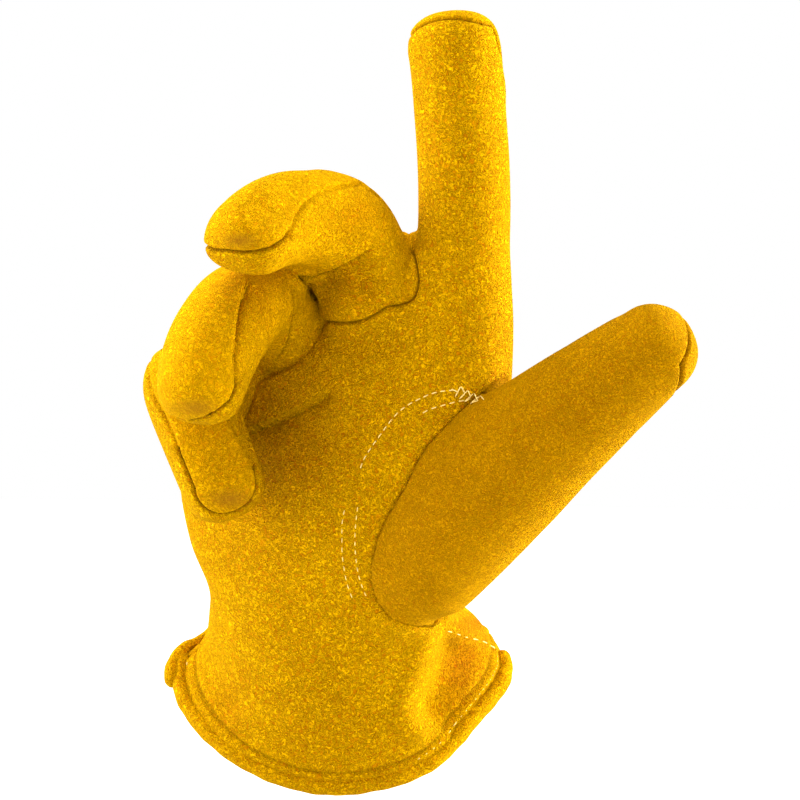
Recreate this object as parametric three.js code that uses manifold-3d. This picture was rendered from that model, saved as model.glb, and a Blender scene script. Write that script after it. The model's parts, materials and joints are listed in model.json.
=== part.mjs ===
// Leather work glove, right hand: golden split leather, index finger up, thumb out, three fingers curled.
//
// Millimetres. Shapes are laid out as the photograph shows them: x to the right (thumb side), up, and
// out towards the viewer, from an origin in the middle of the wrist. The whole glove is then turned so
// that its palm faces -Y, its thumb points to +X and its fingers point to +Z.
//
// Every limb of the glove (hand with cuff, four fingers, thumb) is a tube lofted through a few oval
// sections. Each leather piece is the part of those tube walls that lies in its own range of angles,
// and keeps a seam gap to the piece beside it.

import * as THREE from 'three';
import { mergeVertices } from 'three/addons/utils/BufferGeometryUtils.js';
import Module from 'manifold-3d';

const wasm = await Module();
wasm.setup();

// Driving dimensions
const LEATHER = 1.6; // thickness of the leather
const SEAM_GAP = 0.3; // clearance between two pieces at a seam
const PALM_TURN = THREE.MathUtils.degToRad(30); // how far the palm is turned away from the viewer
const HAND_SIDES = 28; // facets round the hand and cuff
const HAND_PARTS = 2; // rows of facets between two rows of the HAND table
const FINGER_SIDES = 16; // facets round a finger
const BINDING = { thick: 4.6, high: 5.2, sides: 8, drop: 2.9, step: 12 }; // rolled edge of the cuff

// How a finger bends at a joint: the share of the shorter bone that the bend takes on each side, the
// turn in radians from which it counts as sharp, and the facets along it.
const JOINT_REACH = 0.5;
const SHARP_BEND = 0.5;
const SHARP_STEPS = 3;
const SOFT_STEPS = 1;

// The dome of a finger's tip: its length in half depths of the tip, the most of the last bone that it
// takes, the exponent of its curve and the places of its rings.
const DOME_LENGTH = 1.05;
const DOME_SHARE = 0.9;
const DOME_SHAPE = 2.6;
const DOME_STEPS = [0, 0.5, 0.82, 0.96];

// How cuts are made: how far the hollows run out of the cuff and of a finger's root, how many degrees a
// neighbour's room is wider than the neighbour, and the distance under which points are one.
const MOUTH_OPEN = 6;
const ROOT_OPEN = 1;
const CUT_WIDEN = 3;
const MERGE = 1e-4;

// Sections of the hand, from the rim of the cuff to the top between the fingers. wide and deep are
// half sizes; full is the exponent of the oval, 2 for an ellipse and less for one with pointed sides.
// tilt leans a section back, turn swings it away from the viewer, slope drops its little finger side,
// and sag lowers its front and back below its sides. All angles are in degrees.
const HAND = [
  { x: 2.6, up: -27, out: -25, wide: 47.6, deep: 37.2, full: 1.85, tilt: 45, turn: 3.5, slope: 0, sag: 3 },
  { x: 3, up: -18.5, out: -17, wide: 40, deep: 33.2, full: 1.85, tilt: 43, turn: 5, slope: 0, sag: 2 },
  { x: 2, up: -10.5, out: -10, wide: 36, deep: 27.5, full: 1.9, tilt: 37, turn: 10, slope: 0, sag: 1 },
  { x: 0, up: -2, out: -4, wide: 35, deep: 23, full: 2.1, tilt: 25, turn: 18, slope: 0, sag: 0 },
  { x: -1, up: 10, out: -0.5, wide: 42.6, deep: 20.5, full: 2.3, tilt: 10, turn: 26, slope: 0, sag: 0 },
  { x: 1, up: 28, out: 0, wide: 50.5, deep: 20, full: 2.4, tilt: 0, turn: 30, slope: 0, sag: 0 },
  { x: 4, up: 45, out: 0, wide: 49.5, deep: 18.5, full: 2.4, tilt: 0, turn: 30, slope: 9, sag: 0 },
  { x: 6, up: 58, out: 0, wide: 49.5, deep: 17.5, full: 2.4, tilt: 0, turn: 30, slope: 20, sag: 0 },
  { x: 8, up: 69, out: 0.5, wide: 45, deep: 15.5, full: 2.4, tilt: 0, turn: 30, slope: 28, sag: 0 },
  { x: 10.5, up: 77, out: 1, wide: 36, deep: 11.5, full: 2.3, tilt: 0, turn: 30, slope: 32, sag: 0 },
  { x: 12.5, up: 81, out: 1, wide: 25, deep: 7, full: 2.2, tilt: 0, turn: 30, slope: 33, sag: 0 },
];

// Joints of each finger, from inside the palm to the end of the tip. side is the angle, in degrees, by
// which the hinge line of the finger swings towards the viewer on the thumb side, and rise by which it
// climbs.
const FINGERS = {
  index: {
    side: 22,
    rise: 0,
    joints: [
      { x: 35.2, up: 55, out: 15, wide: 13.3, deep: 12.5 },
      { x: 36.7, up: 85, out: 17, wide: 12.9, deep: 12.5 },
      { x: 37, up: 112, out: 19, wide: 12.8, deep: 12.3 },
      { x: 33.3, up: 158, out: 20, wide: 12.8, deep: 11.5 },
    ],
  },
  middle: {
    side: 35,
    rise: 0,
    joints: [
      { x: 18, up: 60, out: 1, wide: 14, deep: 13 },
      { x: 2.8, up: 101, out: 24, wide: 15.2, deep: 14 },
      { x: -15, up: 100.4, out: 45, wide: 13.4, deep: 13 },
      { x: -26.6, up: 88.8, out: 58, wide: 12, deep: 11.4 },
    ],
  },
  ring: {
    side: 33,
    rise: 5,
    joints: [
      { x: -4, up: 54, out: -9, wide: 14, deep: 12.5 },
      { x: -22, up: 81.6, out: 23, wide: 14, deep: 13.4 },
      { x: -32, up: 65, out: 42, wide: 13.2, deep: 12.6 },
      { x: -36.5, up: 45.5, out: 46, wide: 11.6, deep: 11 },
    ],
  },
  little: {
    side: 30,
    rise: 12,
    joints: [
      { x: -27.5, up: 42.5, out: -19, wide: 12.8, deep: 12 },
      { x: -41.4, up: 59.2, out: 11, wide: 12.8, deep: 12.4 },
      { x: -34, up: 39, out: 19.5, wide: 12, deep: 11.4 },
      { x: -26.5, up: 19, out: 20, wide: 11, deep: 10 },
    ],
  },
  thumb: {
    side: -30,
    rise: -52,
    joints: [
      { x: 18.5, up: -5.5, out: 15, wide: 8.5, deep: 8 },
      { x: 22.5, up: 2, out: 18, wide: 15, deep: 13.5 },
      { x: 33, up: 16.5, out: 22, wide: 18.5, deep: 16.5 },
      { x: 47, up: 32.5, out: 28, wide: 19.6, deep: 16.5 },
      { x: 59.5, up: 43.5, out: 35, wide: 17.2, deep: 14.5 },
      { x: 73, up: 54.5, out: 42, wide: 15, deep: 13 },
      { x: 94.6, up: 71, out: 53, wide: 12.2, deep: 11 },
    ],
  },
};

// Soft dents and folds: a valley along the line from a to b, so deep in its middle and so wide.
const FOLDS = [
  { limb: 'hand', a: [-24, 42, 12], b: [-8, 50, 18], depth: 2.2, reach: 5 },
  { limb: 'hand', a: [8, -12, 14], b: [30, -10, 18], depth: 2, reach: 6 },
  { limb: 'hand', a: [-20, -14, 12], b: [-6, -18, 14], depth: 1.2, reach: 6 },
  { limb: 'hand', a: [38, -36, -16], b: [29, -48, -8], depth: 3.5, reach: 13 },
  { limb: 'middle', a: [-30, 97, 66], b: [-14, 103, 62], depth: 1.6, reach: 6 },
  { limb: 'middle', a: [2, 86, 30], b: [16, 80, 14], depth: 1.4, reach: 5 },
  { limb: 'ring', a: [-12, 70, 38], b: [-18, 56, 36], depth: 1.6, reach: 5 },
  { limb: 'index', a: [24, 112, 30], b: [46, 114, 30], depth: 0.8, reach: 7 },
  { limb: 'thumb', a: [70, 60, 56], b: [82, 46, 56], depth: 0.8, reach: 7 },
];

// The pieces of leather, each between two angles round one or more limbs: 0 is a limb's thumb side, 90
// its palm side, 180 its little finger side and 270 its back. A piece gives way to those above it.
const PIECES = {
  thumb: { colour: 0xe0a80c, parts: [{ limb: 'thumb', from: 0, to: 360 }] },
  middle_front: { colour: 0xdda510, parts: [{ limb: 'middle', from: 25, to: 155 }] },
  ring_front: { colour: 0xdaa20e, parts: [{ limb: 'ring', from: 25, to: 155 }] },
  side_strip_index: { colour: 0xd89e0a, parts: [{ limb: 'index', from: 155, to: 205 }] },
  side_strip_middle_inner: { colour: 0xd89e0a, parts: [{ limb: 'middle', from: -45, to: 25 }] },
  side_strip_middle_outer: { colour: 0xd89e0a, parts: [{ limb: 'middle', from: 155, to: 215 }] },
  side_strip_ring_inner: { colour: 0xd89e0a, parts: [{ limb: 'ring', from: -45, to: 25 }] },
  side_strip_ring_outer: { colour: 0xd89e0a, parts: [{ limb: 'ring', from: 155, to: 215 }] },
  side_strip_little: { colour: 0xd89e0a, parts: [{ limb: 'little', from: -45, to: 25 }] },
  palm_panel: {
    colour: 0xdba20c,
    parts: [
      { limb: 'hand', from: 2, to: 182 },
      { limb: 'index', from: 2, to: 155 },
      { limb: 'little', from: 25, to: 182 },
    ],
  },
  back_panel: {
    colour: 0xdaa00a,
    parts: [
      { limb: 'hand', from: 182, to: 362 },
      { limb: 'index', from: 205, to: 362 },
      { limb: 'middle', from: 215, to: 315 },
      { limb: 'ring', from: 215, to: 315 },
      { limb: 'little', from: 182, to: 315 },
    ],
  },
};

// The rolled edge of the cuff is two lengths, each between two angles round the rim.
const BINDINGS = {
  cuff_binding_front: { from: 0.6, to: 179.4, colour: 0xe0a60c },
  cuff_binding_back: { from: 180.6, to: 359.4, colour: 0xdca20a },
};

const rad = THREE.MathUtils.degToRad;
const vec = (x, y, z) => new THREE.Vector3(x, y, z);

// The rows of a table with more rows worked out between them, on a smooth curve through each column.
function refined(rows, parts) {
  const value = (i, key) => rows[Math.min(Math.max(i, 0), rows.length - 1)][key];
  const curve = (a, b, c, d, t) => {
    const bend = 2 * a - 5 * b + 4 * c - d + t * (3 * (b - c) + d - a);
    return b + 0.5 * t * (c - a + t * bend);
  };
  const list = [];
  for (let i = 0; i < rows.length - 1; i += 1) {
    for (let part = 0; part < parts; part += 1) {
      const mix = (key) => curve(...[-1, 0, 1, 2].map((k) => value(i + k, key)), part / parts);
      list.push(Object.fromEntries(Object.keys(rows[i]).map((key) => [key, mix(key)])));
    }
  }
  list.push(rows[rows.length - 1]);
  return list;
}

// A station is one oval section: its middle, its two half axes and its forward direction.
function handStation(row) {
  const along = vec(0, Math.cos(rad(row.tilt)), Math.sin(rad(row.tilt)));
  const front = vec(0, -Math.sin(rad(row.tilt)), Math.cos(rad(row.tilt)));
  const across = vec(1, 0, 0);
  across.applyAxisAngle(along, -rad(row.turn));
  front.applyAxisAngle(along, -rad(row.turn));
  across.applyAxisAngle(front, rad(row.slope));
  along.applyAxisAngle(front, rad(row.slope));
  return { ...row, centre: vec(row.x, row.up, row.out), along, across, front };
}

// A finger's stations: straight bones with a rounded bend at each joint between them. The tip's dome
// is added by rings.
function fingerStations({ side, rise, joints }) {
  const hinge = vec(Math.cos(rad(side)), Math.tan(rad(rise)), Math.sin(rad(side))).normalize();
  const points = joints.map((joint) => vec(joint.x, joint.up, joint.out));
  const heading = (i) => points[i + 1].clone().sub(points[i]).normalize();
  const bone = (i) => points[i].distanceTo(points[i + 1]);
  const stations = [];
  const add = (centre, along, i, share) => {
    const across = hinge.clone().addScaledVector(along, -hinge.dot(along)).normalize();
    const front = across.clone().cross(along);
    const wide = THREE.MathUtils.lerp(joints[i].wide, joints[i + 1].wide, share);
    const deep = THREE.MathUtils.lerp(joints[i].deep, joints[i + 1].deep, share);
    stations.push({ centre, along, across, front, wide, deep, full: 2, sag: 0 });
  };
  add(points[0].clone(), heading(0), 0, 0);
  for (let i = 1; i < points.length - 1; i += 1) {
    const [before, after] = [heading(i - 1), heading(i)];
    const reach = JOINT_REACH * Math.min(bone(i - 1), bone(i));
    const start = points[i].clone().addScaledVector(before, -reach);
    const end = points[i].clone().addScaledVector(after, reach);
    const steps = before.angleTo(after) > SHARP_BEND ? SHARP_STEPS : SOFT_STEPS;
    for (let k = 0; k <= steps; k += 1) {
      const t = k / steps;
      const centre = start.clone().lerp(points[i], t).lerp(points[i].clone().lerp(end, t), t);
      const along = before.clone().lerp(after, t).normalize();
      const past = (2 * t - 1) * reach;
      if (past < 0) add(centre, along, i - 1, 1 + past / bone(i - 1));
      else add(centre, along, i, past / bone(i));
    }
  }
  return stations;
}

const limbs = {
  hand: { name: 'hand', stations: refined(HAND, HAND_PARTS).map(handStation), sides: HAND_SIDES },
};
for (const [name, finger] of Object.entries(FINGERS)) {
  const tip = finger.joints[finger.joints.length - 1];
  const end = vec(tip.x, tip.up, tip.out);
  limbs[name] = { name, stations: fingerStations(finger), sides: FINGER_SIDES, tip, end };
}

// A coordinate of an oval that is fuller than an ellipse above 2, and leaner below.
const bulge = (value, full) => Math.sign(value) * Math.abs(value) ** (2 / full);

// One point of a limb's surface, moved in by inset, with the soft folds pressed in.
function skin(limb, station, angle, inset) {
  const { centre, across, front, along, wide, deep, full, sag } = station;
  const outward = across.clone().multiplyScalar(Math.cos(angle));
  outward.addScaledVector(front, Math.sin(angle));
  const point = centre.clone();
  point.addScaledVector(across, (wide - inset) * bulge(Math.cos(angle), full));
  point.addScaledVector(front, (deep - inset) * bulge(Math.sin(angle), full));
  point.addScaledVector(along, sag * Math.cos(2 * angle));
  for (const fold of FOLDS.filter((row) => row.limb === limb.name)) {
    const nearest = new THREE.Line3(vec(...fold.a), vec(...fold.b)).closestPointToPoint(point, true, vec());
    const share = nearest.distanceTo(point) / fold.reach;
    point.addScaledVector(outward, -fold.depth * Math.exp(-share * share));
  }
  return point;
}

// A limb's surface, moved in by inset: a ring of points at each station, and the pole that closes it.
// A finger's tip is a dome. shift moves the points away from the limb's middle, towards an angle.
function rings(limb, inset, angles, shift = { size: 0, angle: 0 }) {
  const stations = [...limb.stations];
  const last = stations.pop();
  const pole = last.centre.clone();
  if (limb.end) {
    stations.push(last);
    const along = limb.end.clone().sub(last.centre).normalize();
    const dome = Math.min(limb.tip.deep * DOME_LENGTH, limb.end.distanceTo(last.centre) * DOME_SHARE);
    const base = limb.end.clone().addScaledVector(along, -dome);
    for (const step of DOME_STEPS) {
      const shrink = Math.sqrt(1 - step ** DOME_SHAPE);
      const centre = base.clone().addScaledVector(along, step * (dome - inset));
      const size = (key) => (limb.tip[key] - inset) * shrink + inset;
      stations.push({ ...last, along, centre, wide: size('wide'), deep: size('deep') });
    }
    pole.copy(base).addScaledVector(along, dome - inset);
  } else {
    pole.addScaledVector(last.along, -inset);
    stations.push({ ...last, centre: pole.clone() });
  }
  const moved = (point, { across, front }) => {
    point.addScaledVector(across, shift.size * Math.cos(shift.angle));
    return point.addScaledVector(front, shift.size * Math.sin(shift.angle));
  };
  const list = stations.map((s) => angles.map((angle) => moved(skin(limb, s, angle, inset), s)));
  return { list, pole: moved(pole, last) };
}

// Collects triangles on shared points, and gives back a solid whose faces point out.
class Skin {
  points = [];

  faces = [];

  add(points) {
    const first = this.points.length;
    this.points.push(...points);
    return first;
  }

  quad(a, b, c, d) {
    this.faces.push(a, b, c, a, c, d);
  }

  solid() {
    const vertProperties = new Float32Array(this.points.flatMap((p) => p.toArray()));
    const build = (triVerts) => new wasm.Manifold(new wasm.Mesh({ numProp: 3, vertProperties, triVerts }));
    const body = build(new Uint32Array(this.faces));
    return body.volume() > 0 ? body : build(new Uint32Array(this.faces.toReversed()));
  }
}

// Angles in radians, in equal steps from one angle in degrees over a span, without the last.
function evenAngles(from, span, steps) {
  return Array.from({ length: steps }, (_, k) => rad(from + (span * k) / steps));
}

// A solid through rings of equal length, closed by a fan to a middle point at both ends.
function loft(list, first, final) {
  const body = new Skin();
  const count = list[0].length;
  const start = list.map((ring) => body.add(ring));
  const root = body.add([first]);
  const tip = body.add([final]);
  for (let k = 0; k < count; k += 1) {
    const next = (k + 1) % count;
    start.slice(1).forEach((row, i) => body.quad(start[i] + k, start[i] + next, row + next, row + k));
    body.faces.push(root, start[0] + next, start[0] + k);
    body.faces.push(tip, start.at(-1) + k, start.at(-1) + next);
  }
  return body.solid();
}

// The space inside a limb. open adds a stretch beyond its root.
function hollowOf(limb, open) {
  const { list, pole } = rings(limb, LEATHER, evenAngles(0, 360, limb.sides));
  const root = limb.stations[0];
  const back = (point) => point.clone().addScaledVector(root.along, -open);
  return loft([list[0].map(back), ...list], back(root.centre), pole);
}

// The leather of a limb between two angles: an outer and an inner surface, joined at the root and,
// unless it goes all the way round, along both seams. grow makes it thicker, as room for a neighbour.
function sheet({ limb: name, from, to }, grow) {
  const limb = limbs[name];
  const whole = to - from === 360;
  const widen = whole || grow === 0 ? 0 : CUT_WIDEN;
  const steps = Math.max(2, Math.round((limb.sides * (to - from)) / 360));
  const span = to - from + 2 * widen;
  const angles = evenAngles(from - widen, span, steps);
  if (!whole) angles.push(rad(to + widen));
  const size = whole ? 0 : SEAM_GAP / 2 / Math.sin(rad(to - from) / 2);
  const shift = { size, angle: rad(from + to) / 2 };
  const outer = rings(limb, -grow, angles, shift);
  const inner = rings(limb, LEATHER + grow, angles, shift);
  const body = new Skin();
  const out = outer.list.map((ring) => body.add(ring));
  const inn = inner.list.map((ring) => body.add(ring));
  const outPole = body.add([outer.pole]);
  const innPole = body.add([inner.pole]);
  const end = out.length - 1;
  for (let k = 0; k < steps; k += 1) {
    const next = (k + 1) % angles.length;
    for (let i = 0; i < end; i += 1) {
      body.quad(out[i] + k, out[i] + next, out[i + 1] + next, out[i + 1] + k);
      body.quad(inn[i + 1] + k, inn[i + 1] + next, inn[i] + next, inn[i] + k);
    }
    body.quad(inn[0] + k, inn[0] + next, out[0] + next, out[0] + k);
    body.faces.push(out[end] + k, out[end] + next, outPole);
    body.faces.push(inn[end] + next, inn[end] + k, innPole);
  }
  if (!whole) {
    for (let i = 0; i < end; i += 1) {
      body.quad(out[i], out[i + 1], inn[i + 1], inn[i]);
      body.quad(inn[i] + steps, inn[i + 1] + steps, out[i + 1] + steps, out[i] + steps);
    }
    body.quad(out[end], outPole, innPole, inn[end]);
    body.quad(inn[end] + steps, innPole, outPole, out[end] + steps);
  }
  return body.solid();
}

const hollows = {};
for (const [name, limb] of Object.entries(limbs)) {
  hollows[name] = hollowOf(limb, name === 'hand' ? MOUTH_OPEN : ROOT_OPEN);
}

// A piece's leather, cut where other limbs' hollows pass and where an earlier piece of another limb lies.
function cutPiece(piece, earlier) {
  const bodies = piece.parts.map((part) => {
    let body = sheet(part, 0);
    for (const [name, hollow] of Object.entries(hollows)) {
      if (name !== part.limb) body = body.subtract(hollow);
    }
    for (const other of earlier) {
      if (other.limb !== part.limb) body = body.subtract(sheet(other, SEAM_GAP));
    }
    return body;
  });
  const joined = bodies.reduce((sum, body) => sum.add(body));
  return joined.decompose().reduce((a, b) => (a.volume() > b.volume() ? a : b));
}

// One length of the rolled edge, between two angles round the rim of the cuff.
function binding({ from, to }) {
  const rim = limbs.hand.stations[0];
  const steps = Math.ceil((to - from) / BINDING.step);
  const middles = [];
  const list = [...evenAngles(from, to - from, steps), rad(to)].map((angle) => {
    const outward = skin(limbs.hand, rim, angle, -1).sub(skin(limbs.hand, rim, angle, 1)).normalize();
    const middle = skin(limbs.hand, rim, angle, LEATHER / 2).addScaledVector(rim.along, -BINDING.drop);
    middles.push(middle);
    return evenAngles(0, 360, BINDING.sides).map((round) => {
      const point = middle.clone().addScaledVector(outward, (BINDING.thick / 2) * Math.cos(round));
      return point.addScaledVector(rim.along, (BINDING.high / 2) * Math.sin(round));
    });
  });
  return loft(list, middles[0], middles.at(-1));
}

const glove = new THREE.Group();
glove.rotation.set(Math.PI / 2, 0, PALM_TURN, 'ZYX');

function addPiece(name, body, colour) {
  const { vertProperties, triVerts } = body.getMesh();
  const geometry = new THREE.BufferGeometry();
  geometry.setAttribute('position', new THREE.BufferAttribute(vertProperties, 3));
  geometry.setIndex(new THREE.BufferAttribute(triVerts, 1));
  const material = new THREE.MeshStandardMaterial({ color: colour, roughness: 0.95, metalness: 0 });
  const mesh = new THREE.Mesh(mergeVertices(geometry, MERGE), material);
  mesh.geometry.computeVertexNormals();
  mesh.name = name;
  glove.add(mesh);
}

const earlier = [];
for (const [name, piece] of Object.entries(PIECES)) {
  addPiece(name, cutPiece(piece, earlier), piece.colour);
  earlier.push(...piece.parts);
}
for (const [name, length] of Object.entries(BINDINGS)) addPiece(name, binding(length), length.colour);

export default glove;
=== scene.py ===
# %% [markdown]
# A leather work glove, rebuilt from a photograph. The packed solids give the size and the place of every
# piece of leather. This lesson makes the surface that is seen: one soft skin for the whole glove, cut
# along its seams into the same pieces, with folds, stitches and a suede finish.

# %% Load the frame
import json
import math
import bpy
import numpy as np
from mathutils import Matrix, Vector
from mathutils.bvhtree import BVHTree
from mathutils.kdtree import KDTree

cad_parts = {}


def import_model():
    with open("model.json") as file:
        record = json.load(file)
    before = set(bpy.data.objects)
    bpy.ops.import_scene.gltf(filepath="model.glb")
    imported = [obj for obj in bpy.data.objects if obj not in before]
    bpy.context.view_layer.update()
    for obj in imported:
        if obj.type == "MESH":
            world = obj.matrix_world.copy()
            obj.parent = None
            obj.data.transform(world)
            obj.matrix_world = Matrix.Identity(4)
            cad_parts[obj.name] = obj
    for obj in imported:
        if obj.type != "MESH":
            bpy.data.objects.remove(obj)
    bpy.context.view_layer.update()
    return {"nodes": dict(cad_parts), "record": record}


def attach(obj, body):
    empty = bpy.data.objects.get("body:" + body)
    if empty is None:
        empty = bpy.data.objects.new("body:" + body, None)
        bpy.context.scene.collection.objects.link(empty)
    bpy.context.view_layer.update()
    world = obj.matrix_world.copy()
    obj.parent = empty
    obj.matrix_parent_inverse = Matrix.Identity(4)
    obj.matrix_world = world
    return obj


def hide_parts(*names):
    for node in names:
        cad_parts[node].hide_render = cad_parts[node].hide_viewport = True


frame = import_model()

print("frame holds", len(frame["nodes"]), "nodes")

# %% [markdown]
# The glove was shaped in the photograph's own directions: x to the right, up, and out towards the viewer,
# in millimetres. The palm is turned 30 degrees away from the viewer, so this step turns points from those
# directions into the frame, where the palm faces -Y, and scales them to metres. A point also shows at one
# place of the photograph, so a seam or a fold can be given where it is seen.

# %% Directions and sizes
PALM_TURN = math.radians(30)
LEATHER = 1.6
TO_WORLD = np.array([
    [math.cos(PALM_TURN), 0, math.sin(PALM_TURN)],
    [math.sin(PALM_TURN), 0, -math.cos(PALM_TURN)],
    [0, 1, 0],
])
CAMERA_DISTANCE = 1200.0
AIM = np.array([18.9, 51.4, 0.0])
PIXELS_PER_MM = 3.6
PICTURE_MIDDLE = 400.0
EYE = AIM + np.array([0, 0, CAMERA_DISTANCE])


def world(points):
    return np.asarray(points, float) @ TO_WORLD.T / 1000


def in_picture(points):
    """Where points show in the photograph: pixels to the right and down."""
    nearer = PIXELS_PER_MM * CAMERA_DISTANCE / (CAMERA_DISTANCE - points[:, 2])
    right = PICTURE_MIDDLE + (points[:, 0] - AIM[0]) * nearer
    down = PICTURE_MIDDLE - (points[:, 1] - AIM[1]) * nearer
    return np.stack([right, down], 1)


def sight_to(pixels):
    """The directions from the eye through pixels of the photograph."""
    pixels = np.asarray(pixels, float)
    right = AIM[0] + (pixels[:, 0] - PICTURE_MIDDLE) / PIXELS_PER_MM
    up = AIM[1] - (pixels[:, 1] - PICTURE_MIDDLE) / PIXELS_PER_MM
    return unit(np.stack([right, up, np.zeros(len(pixels))], 1) - EYE)


def unit(v):
    return v / np.linalg.norm(v, axis=-1, keepdims=True)


print("the picture is", round(2 * PICTURE_MIDDLE / PIXELS_PER_MM), "mm wide at the glove")

# %% [markdown]
# Each limb of the glove is a soft tube. A short table gives its oval sections: where they are, how wide
# and deep they are, and for the hand how they lean (tilt), swing away (turn) and drop (slope). full is
# the oval's exponent, 2 for an ellipse, and sag is how far the cuff's two ends stand up. A finger has one
# row for its root, each joint and its tip, with the first five of these values. Wide and deep are halves.

# %% Sections of the hand and the fingers
HAND_KEYS = ("x", "up", "out", "wide", "deep", "full", "tilt", "turn", "slope", "sag")
HAND = [
    (2.6, -27, -25, 47.6, 37.2, 1.85, 45, 3.5, 0, 3),
    (3, -18.5, -17, 40, 33.2, 1.85, 43, 5, 0, 2),
    (1.7, -10.5, -10, 36.8, 27.5, 1.9, 37, 10, 0, 1),
    (-0.3, -2, -4, 35.6, 23, 2.1, 25, 18, 0, 0),
    (-0.6, 10, -0.5, 42.2, 20.5, 2.3, 10, 26, 0, 0),
    (1.7, 28, 0, 49.6, 20, 2.4, 0, 30, 0, 0),
    (4, 45, 0, 49.5, 18.5, 2.4, 0, 30, 9, 0),
    (6, 58, 0, 49.5, 17.5, 2.4, 0, 30, 20, 0),
    (8, 69, 0.5, 45, 15.5, 2.4, 0, 30, 28, 0),
    (10.5, 77, 1, 36, 11.5, 2.3, 0, 30, 32, 0),
    (12.5, 81, 1, 25, 7, 2.2, 0, 30, 33, 0),
]
FINGERS = {
    "index": {"side": 22, "rise": 0, "joints": [
        (34.0, 55, 15, 12.8, 12.5),
        (36.0, 85, 17, 12.8, 12.5),
        (36.6, 112, 19, 12.8, 12.3),
        (32.9, 158, 20, 12.7, 11.5),
    ]},
    "middle": {"side": 35, "rise": 0, "joints": [
        (18, 60, 1, 14, 13),
        (3.0, 101.2, 24, 15, 13.8),
        (-15, 100.1, 45, 13.2, 12.7),
        (-26.6, 88.8, 58, 12, 11.4),
    ]},
    "ring": {"side": 33, "rise": 5, "joints": [
        (-10, 63.5, -14, 12.5, 11.5),
        (-21.6, 81.4, 23, 14, 12.2),
        (-32, 65, 42, 13.2, 12.6),
        (-36.5, 45.5, 46, 11.6, 11),
    ]},
    "little": {"side": 30, "rise": 12, "joints": [
        (-27.5, 42.5, -19, 12.8, 12),
        (-41.4, 59.2, 11, 12.8, 12.4),
        (-34, 39, 19.5, 12, 11.4),
        (-25.4, 19, 20, 12, 10.6),
    ]},
    "thumb": {"side": -30, "rise": -52, "joints": [
        (18.5, -5.5, 15, 8.5, 8),
        (22.5, 2, 18, 15, 13.5),
        (33, 16.5, 22, 18.1, 16.5),
        (46.8, 32.8, 28, 19.1, 16.5),
        (59.5, 43.5, 35, 17.1, 14.5),
        (73, 54.5, 42, 14.7, 13),
        (94.2, 70.8, 53, 11.4, 10.6),
    ]},
}

# %% [markdown]
# A smooth curve through the rows of the hand's table gives a fine row of sections, called stations here.
# A station keeps its middle, three directions (across the limb, to its front and along it), its half
# width and half depth, and the two numbers that shape its oval.

# %% Stations along the hand
HAND_PARTS = 6


def turned(v, axis, degrees):
    a = math.radians(degrees)
    return v * math.cos(a) + np.cross(axis, v) * math.sin(a) + axis * (axis @ v) * (1 - math.cos(a))


def on_curve(four, t):
    """A point of the smooth curve between the middle two of four rows."""
    a, b, c, d = four
    bend = 2 * a - 5 * b + 4 * c - d + t * (3 * (b - c) + d - a)
    return b + 0.5 * t * (c - a + t * bend)


def smooth_rows(rows, parts):
    """A fine row of values on a smooth curve through the given rows."""
    rows = np.array(rows, float)
    padded = np.vstack([rows[0], rows, rows[-1]])
    fine = [on_curve(padded[i:i + 4], t) for i in range(len(rows) - 1) for t in np.arange(parts) / parts]
    return np.array(fine + [rows[-1]])


def hand_stations():
    stations = []
    for values in smooth_rows(HAND, HAND_PARTS):
        row = dict(zip(HAND_KEYS, values))
        tilt = math.radians(row["tilt"])
        along = np.array([0, math.cos(tilt), math.sin(tilt)])
        front = np.array([0, -math.sin(tilt), math.cos(tilt)])
        across = turned(np.array([1.0, 0, 0]), along, -row["turn"])
        front = turned(front, along, -row["turn"])
        across = turned(across, front, row["slope"])
        along = turned(along, front, row["slope"])
        centre = np.array([row["x"], row["up"], row["out"]])
        sizes = (row["wide"], row["deep"], row["full"], row["sag"])
        stations.append((centre, across, front, along, *sizes))
    return stations


print("stations along the hand:", len(hand_stations()))

# %% [markdown]
# A finger is a chain of straight stretches. A real leather finger doesn't kink, so each joint is a rounded
# bend that takes half of the shorter stretch beside it. Every oval keeps the same hinge direction, so that
# the finger curls and doesn't twist.

# %% Stations along a finger
BEND_PARTS = 10
BONE_PARTS = 4
JOINT_REACH = 0.5
ELLIPSE, NO_SAG = 2.0, 0.0


def finger_stations(finger):
    side, rise = math.radians(finger["side"]), math.radians(finger["rise"])
    hinge = unit(np.array([math.cos(side), math.tan(rise), math.sin(side)]))
    rows = np.array(finger["joints"], float)
    points, sizes = rows[:, :3], rows[:, 3:]
    padded = np.vstack([sizes[0], sizes, sizes[-1]])
    bones = np.linalg.norm(np.diff(points, axis=0), axis=1)
    heading = np.diff(points, axis=0) / bones[:, None]
    stations = []

    def add(centre, along, i, share):
        along = unit(along)
        across = unit(hinge - along * (hinge @ along))
        wide, deep = on_curve(padded[i:i + 4], share)
        stations.append((centre, across, np.cross(across, along), along, wide, deep, ELLIPSE, NO_SAG))

    done = 0.0
    for i in range(len(bones)):
        last = i == len(bones) - 1
        reach = 0.0 if last else JOINT_REACH * min(bones[i], bones[i + 1])
        for share in np.linspace(done / bones[i], 1 - reach / bones[i], BONE_PARTS):
            add(points[i] + heading[i] * bones[i] * share, heading[i], i, share)
        if last:
            break
        corner = points[i + 1]
        before, after = corner - heading[i] * reach, corner + heading[i + 1] * reach
        for t in np.arange(1, BEND_PARTS) / BEND_PARTS:
            centre = before * (1 - t) ** 2 + corner * 2 * t * (1 - t) + after * t * t
            past = (2 * t - 1) * reach
            along = heading[i] * (1 - t) + heading[i + 1] * t
            if past < 0:
                add(centre, along, i, 1 + past / bones[i])
            else:
                add(centre, along, i + 1, past / bones[i + 1])
        done = reach
    return stations


print("stations along the thumb:", len(finger_stations(FINGERS["thumb"])))

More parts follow.
